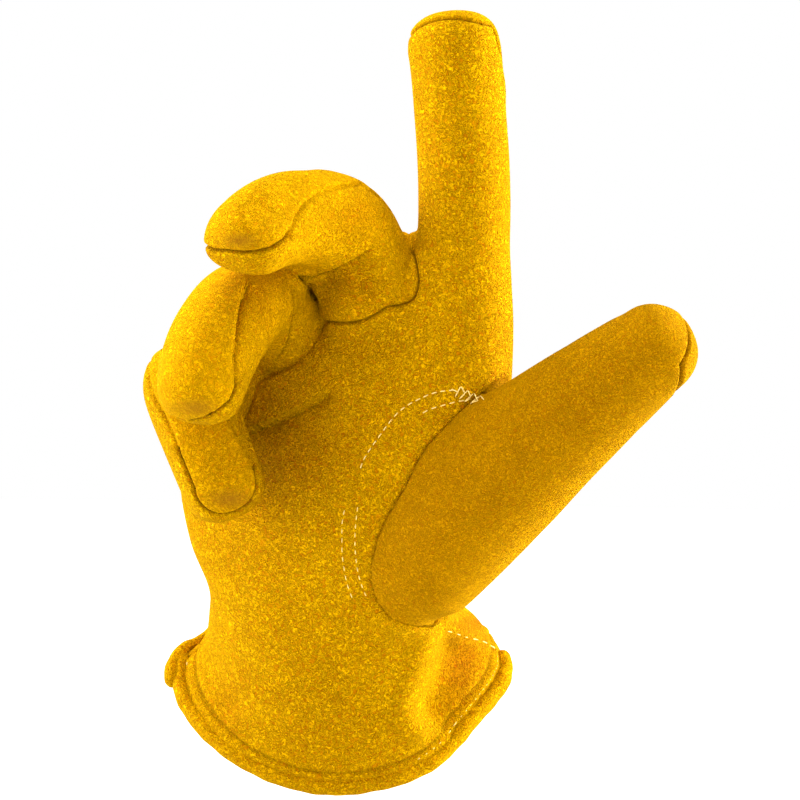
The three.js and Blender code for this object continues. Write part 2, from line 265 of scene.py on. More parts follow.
# %% [markdown]
# The skin needs the distance from any point to a limb. The nearest section tells where the point lies in
# its oval, and the distance is how far it lies outside, along the line from the oval's middle. The same
# reading gives the angle round the limb and the place along it, which the seams are laid out by later.

# %% A limb that can be measured
SAME_PLACE = 0.01
SMALLEST_SHARE = 0.02
TINY = 1e-9


class Limb:
    """The fine sections of one limb as arrays, and the distance from any point to its surface."""

    def __init__(self, name, stations, dome, tip_shape):
        self.name = name
        kept = [stations[0]]
        for station in stations[1:]:
            if np.linalg.norm(station[0] - kept[-1][0]) > SAME_PLACE:
                kept.append(station)
        columns = list(zip(*kept))
        self.centre, self.across, self.front, self.along = (np.array(c) for c in columns[:4])
        self.wide, self.deep, self.full, self.sag = (np.array(c, float) for c in columns[4:])
        self.dome = dome
        self.tip_shape = tip_shape
        steps = np.linalg.norm(np.diff(self.centre, axis=0), axis=1)
        self.mark = np.concatenate([[0], np.cumsum(steps)])

    def nearest(self, p):
        """The section that each point belongs to: its index, and the share of the way to the next."""
        best = np.full(len(p), np.inf)
        index = np.zeros(len(p), int)
        share = np.zeros(len(p))
        for i in range(len(self.centre) - 1):
            if self.name == "hand":
                below = (p - self.centre[i]) @ self.along[i]
                above = (p - self.centre[i + 1]) @ self.along[i + 1]
                t = np.clip(below / np.where(np.abs(below - above) < TINY, 1, below - above), 0, 1)
                inside = (below >= 0) & (above < 0)
                if i == 0:
                    inside |= below < 0
                    t = np.where(below < 0, 0, t)
                if i == len(self.centre) - 2:
                    inside |= above >= 0
                    t = np.where(above >= 0, 1, t)
            else:
                a, b = self.centre[i], self.centre[i + 1]
                t = np.clip((p - a) @ (b - a) / ((b - a) @ (b - a)), 0, 1)
                inside = True
            gap = p - self.centre[i] - t[:, None] * (self.centre[i + 1] - self.centre[i])
            size = np.einsum("ij,ij->i", gap, gap)
            closer = inside & (size < best)
            best[closer] = size[closer]
            index[closer] = i
            share[closer] = t[closer]
        return index, share

    def at(self, values, index, share):
        share = share if values.ndim == 1 else share[:, None]
        return values[index] * (1 - share) + values[index + 1] * share

    def read(self, p):
        """Distance, angle round the limb, place past the dome's base, room below, and side and front."""
        index, share = self.nearest(p)
        gap = p - self.at(self.centre, index, share)
        along = self.at(self.along, index, share)
        wide, deep, full = (self.at(values, index, share) for values in (self.wide, self.deep, self.full))
        side = np.einsum("ij,ij->i", gap, self.at(self.across, index, share))
        front = np.einsum("ij,ij->i", gap, self.at(self.front, index, share))
        w = np.einsum("ij,ij->i", gap, along)
        u, v = side / wide, front / deep
        flat = (np.abs(u) ** full + np.abs(v) ** full) ** (1 / full)
        round_u, round_v = np.sign(u) * np.abs(u) ** (full / 2), np.sign(v) * np.abs(v) ** (full / 2)
        angle = np.mod(np.degrees(np.arctan2(round_v, round_u)), 360)
        over = np.where((index == len(self.centre) - 2) & (share >= 1), np.maximum(w, 0), 0)
        under = np.where((index == 0) & (share <= 0), np.minimum(w, 0), 0)
        lift = over / self.dome
        if self.name != "hand":
            lift = lift - under / self.wide[0]
        r = (flat ** self.tip_shape + np.abs(lift) ** self.tip_shape) ** (1 / self.tip_shape)
        size = np.linalg.norm(gap, axis=1)
        if self.name == "hand":
            level = np.linalg.norm(gap - w[:, None] * along, axis=1)
            size = np.where(over > 0, size, level)
        distance = np.where(r > SMALLEST_SHARE, size * (1 - 1 / np.maximum(r, SMALLEST_SHARE)), -deep)
        place = self.at(self.mark, index, share) + over - self.mark[-1]
        return distance, angle, place, under, side, front


print("a limb is read in columns: distance, angle, place, under, side, front")

# %% [markdown]
# A finger ends in a dome that is a little squarer than a ball, as a sewn fingertip is. The stations inside
# the dome are dropped and one at its base takes their place, with the size that the finger has there.

# %% The six limbs
HAND_DOME, BALL = 6.0, 2.0
DOME_LENGTH = 1.05
DOME_SHARE = 0.9
SQUARER = 2.5
limbs = {"hand": Limb("hand", hand_stations(), dome=HAND_DOME, tip_shape=BALL)}
for name, finger in FINGERS.items():
    stations = finger_stations(finger)
    tip = stations[-1]
    last_bone = np.linalg.norm(np.subtract(finger["joints"][-1][:3], finger["joints"][-2][:3]))
    dome = min(tip[5] * DOME_LENGTH, DOME_SHARE * last_bone)
    cut = [s for s in stations if (tip[0] - s[0]) @ tip[3] > dome]
    last = stations[-BONE_PARTS:]
    before = [-(tip[0] - s[0]) @ tip[3] for s in last]
    wide, deep = (np.interp(-dome, before, [s[k] for s in last]) for k in (4, 5))
    base = (tip[0] - tip[3] * dome, *tip[1:4], wide, deep, *tip[6:])
    limbs[name] = Limb(name, cut + [base], dome=dome, tip_shape=SQUARER)
print("stations:", {name: len(limb.centre) for name, limb in limbs.items()})

# %% [markdown]
# One skin for the whole glove comes from a distance field: each limb gives its distance to any point, and
# a smooth minimum joins two limbs with a soft fillet. A wide fillet suits the index finger, which is cut
# in one piece with the palm. A tight one leaves the valley that a set-in seam makes. Small webs of leather
# (a middle, a radius and a fillet) fill the forks between the fingers. The skin lies 0.3 mm under the
# sections, which leaves room for the lips of the seams.

# %% Distance to the whole glove
FILLETS = {"index": 8.0, "middle": 3.0, "ring": 3.0, "little": 6.0, "thumb": 2.5}
BETWEEN_FINGERS = 1.2
WEBS = [((21.6, 93.6, 12.0), 3.6, 5.0), ((-10.5, 84.5, 25.0), 4.5, 5.0), ((-5.5, 79.0, 3.0), 7.0, 6.0),
        ((-23.0, 57.0, -5.0), 6.0, 5.0)]
SEAM_ROOM = 0.3
FAR = 60.0
REACH = 12.0
READ_COLUMNS = 6


def smooth_min(a, b, radius):
    h = np.maximum(radius - np.abs(a - b), 0) / radius
    return np.minimum(a, b) - h * h * radius / 4


def read_limbs(p):
    readings = {}
    for name, limb in limbs.items():
        margin = max(limb.wide.max(), limb.deep.max()) + limb.dome + REACH
        near = np.all((p > limb.centre.min(0) - margin) & (p < limb.centre.max(0) + margin), axis=1)
        columns = [np.full(len(p), FAR)] + [np.zeros(len(p)) for _ in range(READ_COLUMNS - 1)]
        for column, values in zip(columns, limb.read(p[near])):
            column[near] = values
        readings[name] = columns
    return readings


def glove_distance(p):
    gaps = {name: columns[0] for name, columns in read_limbs(p).items()}
    curled = gaps["middle"]
    for name in ("ring", "little"):
        curled = smooth_min(curled, gaps[name], BETWEEN_FINGERS)
    whole = smooth_min(gaps["hand"], gaps["index"], FILLETS["index"])
    whole = smooth_min(whole, curled, FILLETS["middle"])
    whole = smooth_min(whole, gaps["thumb"], FILLETS["thumb"])
    for middle, radius, fillet in WEBS:
        whole = smooth_min(whole, np.linalg.norm(p - np.array(middle), axis=1) - radius, fillet)
    return whole + SEAM_ROOM


print("from the palm's middle to the skin, in mm:", glove_distance(np.array([[1.7, 28.0, 0.0]])).round(1))

# %% [markdown]
# The field becomes a mesh by surface nets: every small cell that the surface crosses gets one vertex, at
# the middle of its crossings, and four such cells round a crossed edge make a quad. The field is first
# read coarsely, and finely only near the surface, which keeps it quick.

# %% Read the field on a grid
CELL = 1.0
COARSE = 4
MARGIN = 6.0
NEAR_SURFACE = CELL * COARSE * 1.5 + 2


def sample_field():
    low = np.min([l.centre.min(0) - max(l.wide.max(), l.deep.max()) for l in limbs.values()], axis=0)
    high = np.max([l.centre.max(0) + max(l.wide.max(), l.deep.max()) for l in limbs.values()], axis=0)
    low, high = low - MARGIN, high + MARGIN
    count = np.ceil((high - low) / (CELL * COARSE)).astype(int) + 1
    coarse = np.stack(np.meshgrid(*[np.arange(n) for n in count], indexing="ij"), -1).reshape(-1, 3)
    rough = glove_distance(low + (coarse + 0.5) * CELL * COARSE).reshape(count)
    field = rough.repeat(COARSE, 0).repeat(COARSE, 1).repeat(COARSE, 2)
    near = np.argwhere(np.abs(field) < NEAR_SURFACE)
    field[tuple(near.T)] = glove_distance(low + near * CELL)
    return field, low


field, low = sample_field()
print("grid:", field.shape)

# %% [markdown]
# Now the nets themselves. The eight corners of a cell tell whether the surface crosses it, and each of its
# twelve edges that is crossed adds one point to the average that becomes the vertex.

# %% From the grid to a mesh
CORNERS = np.array([[i, j, k] for i in (0, 1) for j in (0, 1) for k in (0, 1)])
PAIRS = [(a, b) for a in range(8) for b in range(a + 1, 8)]
CELL_EDGES = [(a, b) for a, b in PAIRS if np.abs(CORNERS[a] - CORNERS[b]).sum() == 1]


def surface_nets(field, low):
    inside = field < 0
    size = np.array(field.shape) - 1
    total = np.zeros(size, np.int8)
    for c in CORNERS:
        total += inside[c[0]:c[0] + size[0], c[1]:c[1] + size[1], c[2]:c[2] + size[2]]
    cells = np.argwhere((total > 0) & (total < 8))
    number = np.full(size, -1)
    number[tuple(cells.T)] = np.arange(len(cells))
    values = [field[tuple((cells + c).T)] for c in CORNERS]
    middle = np.zeros(cells.shape)
    crossings = np.zeros(len(cells))
    for a, b in CELL_EDGES:
        crossed = (values[a] < 0) != (values[b] < 0)
        share = values[a] / np.where(crossed, values[a] - values[b], 1)
        point = CORNERS[a] + share[:, None] * (CORNERS[b] - CORNERS[a])
        middle[crossed] += point[crossed]
        crossings += crossed
    verts = low + (cells + middle / crossings[:, None]) * CELL
    quads = []
    for axis in range(3):
        one, two = [k for k in range(3) if k != axis]
        step = np.eye(3, dtype=int)
        lower = inside[tuple(slice(0, -1) if k == axis else slice(None) for k in range(3))]
        upper = inside[tuple(slice(1, None) if k == axis else slice(None) for k in range(3))]
        at = np.argwhere(lower != upper)
        at = at[(at[:, one] > 0) & (at[:, two] > 0) & (at[:, one] < size[one]) & (at[:, two] < size[two])]
        ring = [at - step[one] - step[two], at - step[two], at, at - step[one]]
        quad = np.stack([number[tuple(r.T)] for r in ring], 1)
        flip = lower[tuple(at.T)] != (axis != 1)
        quad[flip] = quad[flip][:, ::-1]
        quads.append(quad)
    quads = np.concatenate(quads)
    return verts, quads[np.all(quads >= 0, axis=1)]


verts, quads = surface_nets(field, low)
print("skin:", len(verts), "vertices", len(quads), "quads")

# %% [markdown]
# The net is a little stepped. Each vertex moves half way to the middle of its neighbours, twice, and then
# back onto the surface along the slope of the field, so the skin is even and keeps its size.

# %% Smooth the skin
PROBE = 0.25
LEAST_SLOPE = 0.2
LONGEST_MOVE = 2


def edges_of(faces):
    pairs = np.concatenate([faces[:, [k, (k + 1) % faces.shape[1]]] for k in range(faces.shape[1])])
    return np.unique(np.sort(pairs, axis=1), axis=0)


def relaxed(verts, edges, share=0.5):
    total = np.zeros_like(verts)
    count = np.bincount(edges.ravel(), minlength=len(verts))
    for axis in range(3):
        total[:, axis] = np.bincount(edges[:, 0], verts[edges[:, 1], axis], len(verts))
        total[:, axis] += np.bincount(edges[:, 1], verts[edges[:, 0], axis], len(verts))
    return verts * (1 - share) + share * total / np.maximum(count, 1)[:, None]


def seated(verts, rounds=2):
    """The vertices moved onto the surface, along the field's slope."""
    for _ in range(rounds):
        here = glove_distance(verts)
        slope = np.stack([glove_distance(verts + PROBE * axis) - here for axis in np.eye(3)], 1) / PROBE
        size = np.maximum(np.einsum("ij,ij->i", slope, slope), LEAST_SLOPE)
        verts = verts - np.clip(here / size, -LONGEST_MOVE, LONGEST_MOVE)[:, None] * slope
    return verts


edges = edges_of(quads)
for _ in range(2):
    verts = relaxed(verts, edges)
verts = seated(verts)
print("size of the skin in mm:", (verts.max(0) - verts.min(0)).round(1))

# %% [markdown]
# Now the skin is cut into the pieces that a glove maker sews. A piece is a stretch of one or more limbs
# between two angles: 0 is a limb's thumb side, 90 its palm side, 180 its little finger side, 270 its back.
# Each row names a piece and the angle where it starts, at one or more places in mm before the tip's dome.
# The thumb has a front and a rear half, which are one piece folded over.

# %% Where the seams run along each limb
PIECES = ["thumb", "middle_front", "ring_front", "side_strip_index", "side_strip_middle_inner",
          "side_strip_middle_outer", "side_strip_ring_inner", "side_strip_ring_outer", "side_strip_little",
          "palm_panel", "back_panel"]
PANELS = PIECES + ["thumb_rear"]
CODE = {name: i for i, name in enumerate(PANELS)}
OUTSIDE = -1
STARTS = {
    "hand": [("palm_panel", [(-118, -28), (-85, -20), (0, -20)]), ("back_panel", [(0, 182)])],
    "index": [("palm_panel", [(-110, -20), (-5, -20), (2, 0)]),
              ("side_strip_index", [(-14, 155), (2, 178)]),
              ("back_panel", [(-14, 205), (2, 180)])],
    "middle": [("middle_front", [(-40, 25), (-6, 12), (0, -1)]),
               ("side_strip_middle_outer", [(-40, 155), (-6, 172), (0, 192)]),
               ("back_panel", [(-40, 215), (-10, 208), (0, 194)]),
               ("side_strip_middle_inner", [(-60, 315), (-29, 317), (-22, 325), (-15, 330), (-10, 333),
                                            (-6, 341), (-3, 353), (0, 358)])],
    "ring": [("ring_front", [(-40, 25), (-6, 12), (0, -1)]),
             ("side_strip_ring_outer", [(-40, 155), (-6, 172), (0, 192)]),
             ("back_panel", [(-40, 215), (-10, 208), (0, 194)]),
             ("side_strip_ring_inner", [(-60, 300), (-30, 308), (-18.5, 317), (-11, 329), (-4.6, 340),
                                        (0, 357)])],
    "little": [("palm_panel", [(-40, 25), (-8, 10), (0, -4)]),
               ("back_panel", [(-60, 182), (-40, 215), (-21.5, 254), (-14, 260), (0, 258)]),
               ("side_strip_little", [(-60, 315), (-20, 330), (-8, 350), (0, 355)])],
    "thumb": [("thumb", [(-120, 5), (-3, 10), (6, 58)]), ("thumb_rear", [(-120, 200), (-6, 205), (6, 256)])],
}
print("pieces of leather:", len(PIECES), "and two lengths of rolled edge")

# %% [markdown]
# At a fingertip the seam runs across the dome. There a plane through the tip parts the front from the
# back: the front lies where u * side + v * front is over a level, in mm. The index finger's front panel
# also ends in an arc under the tip, and the back panel wraps over it.

# %% Where the seams cross the fingertips
TIP_KEYS = ("front_piece", "back_piece", "from_place", "side", "front", "level")
TIPS = {
    "index": ("palm_panel", "back_panel", 2, 0.0, 1.0, 0.0),
    "middle": ("middle_front", "back_panel", 0, -0.11, 1.0, -1.6),
    "ring": ("ring_front", "back_panel", 0, -0.12, 1.0, -1.9),
    "little": ("palm_panel", "back_panel", 0, -0.6, 1.0, -8.5),
    "thumb": ("thumb", "thumb_rear", 6, -1.0, 0.42, -1.7),
}
INDEX_ARC = {"top": 9.1, "curve": 0.024, "shift": 1.0}
print("seams over fingertips:", list(TIPS))

# %% [markdown]
# Two seams show clearly in the photograph, so they follow it: the curved seam that sets the thumb into the
# palm, and the one that sets the middle finger's front into it. Each is a line of points in the picture's
# pixels, closed far outside its own piece.

# %% Seams taken from the photograph
THUMB_SEAM = [(485, 391), (478, 398), (464, 411), (446, 428), (429, 445), (418, 463), (405, 489), (391, 512),
              (379, 538), (373, 564), (373, 584), (379, 602), (392, 618), (410, 624), (431, 625), (446, 618),
              (457, 610)]
MIDDLE_SEAM = [(328, 318), (351, 314), (377, 308), (400, 305), (410, 301), (416, 296), (419, 288), (418, 277),
               (416, 264), (414, 254), (412, 246), (410, 240)]
SET_IN = {
    "thumb": {"seam": THUMB_SEAM, "beyond": [(480, 620), (760, 500), (760, 250), (600, 290), (510, 360)],
              "beside": ("hand", "index")},
    "middle": {"seam": MIDDLE_SEAM, "beyond": [(400, 225), (380, 170), (300, 140), (180, 200), (190, 270),
                                               (240, 290), (300, 300)],
               "beside": ("hand", "index")},
}
print("points on the seams:", len(THUMB_SEAM), "and", len(MIDDLE_SEAM))

# %% [markdown]
# To use such lines, a point of the skin is seen in the picture, and its distance to the line and the side
# that it lies on are measured there.

# %% Measure in the picture
def beside(pixels, line):
    """Distance in mm from picture points to a line, the side (1 right of its way), and place along it."""
    line = np.array(line, float)
    best = np.full(len(pixels), np.inf)
    side = np.zeros(len(pixels))
    place = np.zeros(len(pixels))
    done = 0.0
    for a, b in zip(line[:-1], line[1:]):
        way = b - a
        length = np.hypot(*way)
        t = np.clip((pixels - a) @ way / length ** 2, 0, 1)
        gap = pixels - a - t[:, None] * way
        size = np.hypot(gap[:, 0], gap[:, 1])
        closer = size < best
        best[closer] = size[closer]
        side[closer] = np.sign(way[0] * gap[:, 1] - way[1] * gap[:, 0])[closer]
        place[closer] = (done + t * length)[closer]
        done += length
    return best / PIXELS_PER_MM, side, place / PIXELS_PER_MM, done / PIXELS_PER_MM


def enclosed(pixels, outline):
    """True where a picture point lies inside a closed outline."""
    outline = np.array(outline, float)
    inside = np.zeros(len(pixels), bool)
    for a, b in zip(outline, np.roll(outline, -1, axis=0)):
        if a[1] == b[1]:
            continue
        crosses = (a[1] > pixels[:, 1]) != (b[1] > pixels[:, 1])
        at = a[0] + (pixels[:, 1] - a[1]) / (b[1] - a[1]) * (b[0] - a[0])
        inside ^= crosses & (pixels[:, 0] < at)
    return inside


middle_of_palm = in_picture(np.array([[1.7, 28.0, 20.0]]))
inside = enclosed(middle_of_palm, THUMB_SEAM)
print("the palm's middle shows at", middle_of_palm.round(), "inside the thumb:", inside)

# %% [markdown]
# Which limb owns a point decides which piece it can belong to. A point belongs to the limb that it is
# nearest to, and near the two seams above the border is pulled to the line in the photograph.

# %% The limb that owns a point
SEAM_REACH = 3.0
FACING_PROBE = 0.4
FACING_SOFT = 0.3
PULL_REACH = 6
PULL_FADE = 3


def ease(x):
    x = np.clip(x, 0, 1)
    return x * x * (3 - 2 * x)


def follow_picture(p, gaps, name, rule):
    """Moves the border of a set-in piece to its seam in the photograph, where the skin faces the viewer."""
    other = np.min([gaps[n] for n in rule["beside"]], axis=0)
    near = np.flatnonzero((other < PULL_REACH) & (gaps[name] < PULL_REACH))
    if not len(near):
        return
    points = p[near]
    here = glove_distance(points)
    rise = glove_distance(points + np.array([0, 0, FACING_PROBE])) - here
    facing = ease(rise / FACING_PROBE / FACING_SOFT)
    pixels = in_picture(points)
    outline = rule["seam"] + rule["beyond"]
    gap = beside(pixels, outline + outline[:1])[0]
    signed = np.clip(np.where(enclosed(pixels, outline), -gap, gap), -SEAM_REACH, SEAM_REACH)
    pull = facing * ease((PULL_REACH - other[near]) / PULL_FADE)
    pull *= ease((PULL_REACH - gaps[name][near]) / PULL_FADE)
    gaps[name][near] = gaps[name][near] * (1 - pull) + pull * (other[near] + signed)


def owners(p, readings):
    gaps = {name: readings[name][0].copy() for name in limbs}
    for name, rule in SET_IN.items():
        follow_picture(p, gaps, name, rule)
    return np.argmin([gaps[name] for name in limbs], axis=0)


counts = np.bincount(owners(verts, read_limbs(verts)), minlength=len(limbs))
print("vertices on each limb:", dict(zip(limbs, counts.tolist())))

# %% [markdown]
# The back's edge on the middle and the ring finger shows clearly too. Inside these outlines, on the side
# of the finger that faces the viewer, the leather belongs to the back panel.

# %% Edges of the back panel that follow the photograph
BACK_OUTLINES = {
    "middle": [(362, 184), (338, 188), (318, 194), (306, 202), (298, 213), (292, 226), (283, 239), (270, 248),
               (255, 252), (242, 253), (218, 250), (207, 245), (180, 240), (190, 190), (240, 140), (340, 140),
               (390, 170), (384, 198)],
    "ring": [(250, 268), (243, 296), (237, 327), (234, 358), (235, 384), (230, 400), (218, 410), (205, 417),
             (190, 420), (169, 414), (140, 400), (130, 330), (180, 250), (245, 240)],
}
SEEN_FROM, SEEN_TO = 262, 400
OUTLINE_PLACE = -32
TIP_PLACE = -1


def follow_outline(name, p, angle, place, found):
    """Gives the seen side of a finger to the back panel inside the outline, and takes it away outside."""
    turn = np.where(angle < SEEN_TO - 360, angle + 360, angle)
    seen = ((turn > SEEN_FROM) & (turn < SEEN_TO) & (place > OUTLINE_PLACE)) | (place > TIP_PLACE)
    inside = enclosed(in_picture(p), BACK_OUTLINES[name])
    back = found == CODE["back_panel"]
    found[seen & inside] = CODE["back_panel"]
    away = seen & ~inside & back
    found[away & (place <= 0)] = CODE[f"side_strip_{name}_inner"]
    found[away & (place > 0)] = CODE[f"{name}_front"]
    found[seen & ~inside & (place > 0)] = CODE[f"{name}_front"]


print("outlines on the backs of:", list(BACK_OUTLINES))

# %% [markdown]
# All these rules come together in one function that names the piece of leather at any point. The tables of
# angles come first, then the fingertips, the outlines and, at the cuff, the edge where the leather ends.

# %% Name the piece at any point
def panel_codes(p):
    readings = read_limbs(p)
    owner = owners(p, readings)
    codes = np.full(len(p), CODE["palm_panel"])
    for i, name in enumerate(limbs):
        mine = np.flatnonzero(owner == i)
        angle, place, under, u, v = (column[mine] for column in readings[name][1:])
        rows = STARTS[name]
        starts = [np.interp(place, *zip(*border)) for _, border in rows]
        starts.append(starts[0] + 360)
        found = codes[mine]
        for (piece, _), start, end in zip(rows, starts[:-1], starts[1:]):
            found[np.mod(angle - start, 360) < end - start] = CODE[piece]
        if name in TIPS:
            tip = dict(zip(TIP_KEYS, TIPS[name]))
            front = tip["side"] * u + tip["front"] * v > tip["level"]
            if name == "index":
                front &= place < INDEX_ARC["top"] - INDEX_ARC["curve"] * (u - INDEX_ARC["shift"]) ** 2
            on_dome = place > tip["from_place"]
            found[on_dome] = np.where(front, CODE[tip["front_piece"]], CODE[tip["back_piece"]])[on_dome]
        if name in BACK_OUTLINES:
            follow_outline(name, p[mine], angle, place, found)
        if name == "hand":
            rim = limbs[name].sag[0] * np.cos(2 * np.radians(angle))
            found[(under < 0) & (under < rim)] = OUTSIDE
        codes[mine] = found
    return codes


for place in ((40.0, 130.0, 32.0), (1.7, 28.0, 20.0)):
    print("the leather at", place, "is", PANELS[panel_codes(np.array([place]))[0]])

# %% [markdown]
# Where an edge of the mesh crosses a seam, its nearer end is moved onto the seam, so the cut is clean. The
# crossing is found by halving the edge eight times. Each quad is then split into two triangles, along the
# seam where one passes through it.

# %% Cut the skin into pieces
def snapped(verts, edges, rounds=8):
    """Moves the nearer end of every edge that crosses a seam onto the seam."""
    codes = panel_codes(verts)
    crossing = edges[codes[edges[:, 0]] != codes[edges[:, 1]]]
    low, high = np.zeros(len(crossing)), np.ones(len(crossing))
    start, end = verts[crossing[:, 0]], verts[crossing[:, 1]]
    first = codes[crossing[:, 0]]
    for _ in range(rounds):
        middle = (low + high) / 2
        same = panel_codes(start + (end - start) * middle[:, None]) == first
        low, high = np.where(same, middle, low), np.where(same, high, middle)
    share = (low + high) / 2
    point = start + (end - start) * share[:, None]
    mover = np.where(share < 0.5, crossing[:, 0], crossing[:, 1])
    order = np.argsort(-np.minimum(share, 1 - share))
    moved = verts.copy()
    moved[mover[order]] = point[order]
    on_seam = np.zeros(len(verts), bool)
    on_seam[mover] = True
    return moved, on_seam


verts, on_seam = snapped(verts, edges)
both = on_seam[quads]
cross = (both[:, 0] & both[:, 2]) | ~(both[:, 1] & both[:, 3])
one_way, other_way = quads[cross], quads[~cross]
tris = np.concatenate([one_way[:, [0, 1, 2]], one_way[:, [0, 2, 3]],
                       other_way[:, [1, 2, 3]], other_way[:, [1, 3, 0]]])
codes = panel_codes(verts[tris].mean(1))
tris, codes = tris[codes != OUTSIDE], codes[codes != OUTSIDE]
print("triangles:", {name: int((codes == CODE[name]).sum()) for name in PANELS})

# %% [markdown]
# Folds are what makes leather look used. Each row below gives one fold where it shows in the photograph:
# a line in pixels, and how far the leather rises (or sinks, below zero) on the left and on the right of
# the line's way, over which reach in mm. Equal sides make a valley or a ridge, unequal ones an
# overhanging edge with a shadow under it. sharp is 0 for a soft hollow and 1 for a crease, and the last
# value is painted shade: how much darker the crease's colour is painted.

# %% Folds seen in the photograph
FOLD_KEYS = ("limbs", "line", "left", "left_reach", "right", "right_reach", "sharp", "painted_dark")
FOLDS = {
    "middle_overhang": (("middle", "hand"), [(296, 277), (318, 273), (338, 265), (355, 257), (374, 247)],
                        1.0, 6, -6.0, 13, 1, 0.6),
    "middle_knuckle_valley": (("middle",), [(303, 168), (298, 182), (289, 194), (276, 207), (256, 215),
                                            (238, 221)], -1.6, 8, -1.6, 8, 0, 0),
    "middle_side_dimple": (("middle",), [(329, 258), (342, 243), (352, 230), (360, 217)],
                           -1.3, 6, -1.3, 6, 0, 0),
    "middle_base_valley": (("middle",), [(362, 258), (366, 270), (373, 285), (384, 300)],
                           -1.3, 6, -1.3, 6, 0, 0),
    "middle_base_ridge": (("middle",), [(384, 246), (394, 266), (404, 290)], 0.8, 5, 0.8, 5, 0, 0),
    "middle_tip_dent": (("middle",), [(228, 242), (241, 240), (256, 241)], -0.5, 4, -0.5, 4, 0, 0),
    "ring_leaf_edge": (("ring",), [(249, 283), (242, 300), (237, 327), (234, 350), (234, 372)],
                       -2.4, 8, 0.6, 4, 1, 0.15),
    "ring_second_edge": (("ring",), [(292, 290), (292, 304), (291, 319), (286, 342), (278, 356), (265, 376)],
                         -2.4, 8, 0.8, 5, 1, 0.25),
    "ring_tip_dent": (("ring",), [(180, 405), (196, 409), (212, 403)], -0.5, 4, -0.5, 4, 0, 0),
    "little_tip_dent": (("little",), [(216, 500), (232, 502), (248, 499)], -0.4, 4, -0.4, 4, 0, 0),
    "palm_crease": (("hand", "index"), [(240, 435), (262, 425), (286, 415), (305, 406), (320, 396),
                                        (338, 381)], 1.0, 9, -2.6, 10, 1, 0.12),
    "thumb_edge": (("thumb", "hand", "index"), THUMB_SEAM, 0.9, 6, -0.9, 6, 0.5, 0),
    "cuff_ridge": (("hand",), [(448, 625), (436, 643), (428, 665), (423, 687), (412, 718), (398, 748)],
                   2.8, 10, 2.8, 8, 0, 0),
    "cuff_valley": (("hand",), [(470, 632), (463, 648), (453, 672), (443, 700), (428, 735)],
                    -5.6, 13, -5.6, 13, 0, 0),
    "cuff_left_valley": (("hand",), [(203, 640), (210, 672), (222, 700), (240, 725)], -1.2, 7, -1.2, 7, 0, 0),
}
print("folds:", len(FOLDS))

# %% [markdown]
# A fold fades out at both ends, and where the leather turns away from the eye, because nothing is known
# there. One side of a crease is its low side, and the painted shade along the crease is wider there.

# %% How far the folds lift the leather
FOLD_FADE = 7.0
CREASE_START = 2
SEE_LEAST = 0.1
SEE_WELL = 0.5
SHADE_WIDTHS = (1.1, 0.3)


def close_to(pixels, line, reach):
    """True in the box round a line, grown by a reach in mm."""
    grow = reach * PIXELS_PER_MM
    return np.all((pixels > line.min(0) - grow) & (pixels < line.max(0) + grow), axis=1)


def shape_of(gap, reach, sharp):
    t = np.clip(gap / reach, 0, 1)
    return (1 - sharp) * (1 - t * t) ** 2 + sharp * (1 - t) ** 2


def fold_heights(verts, normals, owner):
    """How far each vertex rises along its normal for the folds, and how much painted shade its crease gets.
    """
    pixels = in_picture(verts)
    facing = np.einsum("ij,ij->i", normals, unit(EYE - verts))
    height = np.zeros(len(verts))
    painted_dark = np.zeros(len(verts))
    names = list(limbs)
    for row in FOLDS.values():
        fold = dict(zip(FOLD_KEYS, row))
        line = smooth_rows(fold["line"], 4)
        mine = np.isin(owner, [names.index(n) for n in fold["limbs"]]) & (facing > SEE_LEAST)
        mine &= close_to(pixels, line, max(fold["left_reach"], fold["right_reach"]))
        gap, side, place, length = beside(pixels[mine], line)
        fade = ease(place / FOLD_FADE) * ease((length - place) / FOLD_FADE)
        if fold["sharp"]:
            fade = ease((place + CREASE_START) / FOLD_FADE) * ease((length - place) / FOLD_FADE)
        left = fold["left"] * shape_of(gap, fold["left_reach"], fold["sharp"])
        right = fold["right"] * shape_of(gap, fold["right_reach"], fold["sharp"])
        height[mine] += fade * ease(facing[mine] / SEE_WELL) * np.where(side > 0, right, left)
        # Painted shade: the colour along a crease is darkened, more widely on its low side.
        if fold["sharp"]:
            low_side = side * np.sign(fold["left"] - fold["right"]) > 0
            line_shade = np.exp(-(gap / np.where(low_side, *SHADE_WIDTHS)) ** 2)
            painted_dark[mine] = np.maximum(painted_dark[mine], fade * line_shade * fold["painted_dark"])
    return height, painted_dark


def near_folds(verts, within):
    """True near the line of a crease, where the mesh has to be fine."""
    pixels = in_picture(verts)
    near = np.zeros(len(verts), bool)
    for row in FOLDS.values():
        fold = dict(zip(FOLD_KEYS, row))
        line = np.array(fold["line"], float)
        box = close_to(pixels, line, within) & (fold["sharp"] > 0)
        near[box] |= beside(pixels[box], line)[0] < within
    return near


print("vertices near a crease:", int(near_folds(verts, 3.0).sum()))

# %% [markdown]
# A seam is sewn inside out and turned, so it shows as a narrow groove between two soft lips. A groove one
# millimetre wide needs a finer mesh, so near the seams, the creases and the cuff's edge the triangles are
# halved once. The distance to the seams comes from a tree of points laid along them.

# %% Distance to the seams
SEAM_STEP = 0.15
NO_SEAM = 10.0


def seam_edges(tris, codes):
    """The edges between two triangles of different panels, and the two panels of each."""
    directed = np.concatenate([tris[:, [0, 1]], tris[:, [1, 2]], tris[:, [2, 0]]])
    owner = np.concatenate([codes, codes, codes])
    key = np.sort(directed, axis=1)
    order = np.lexsort((key[:, 1], key[:, 0]))
    key, owner = key[order], owner[order]
    same = np.all(key[1:] == key[:-1], axis=1) & (owner[1:] != owner[:-1])
    return key[1:][same], np.stack([owner[1:][same], owner[:-1][same]], 1)


def near_tree(points):
    tree = KDTree(len(points))
    for i, point in enumerate(points):
        tree.insert(point, i)
    tree.balance()
    return tree


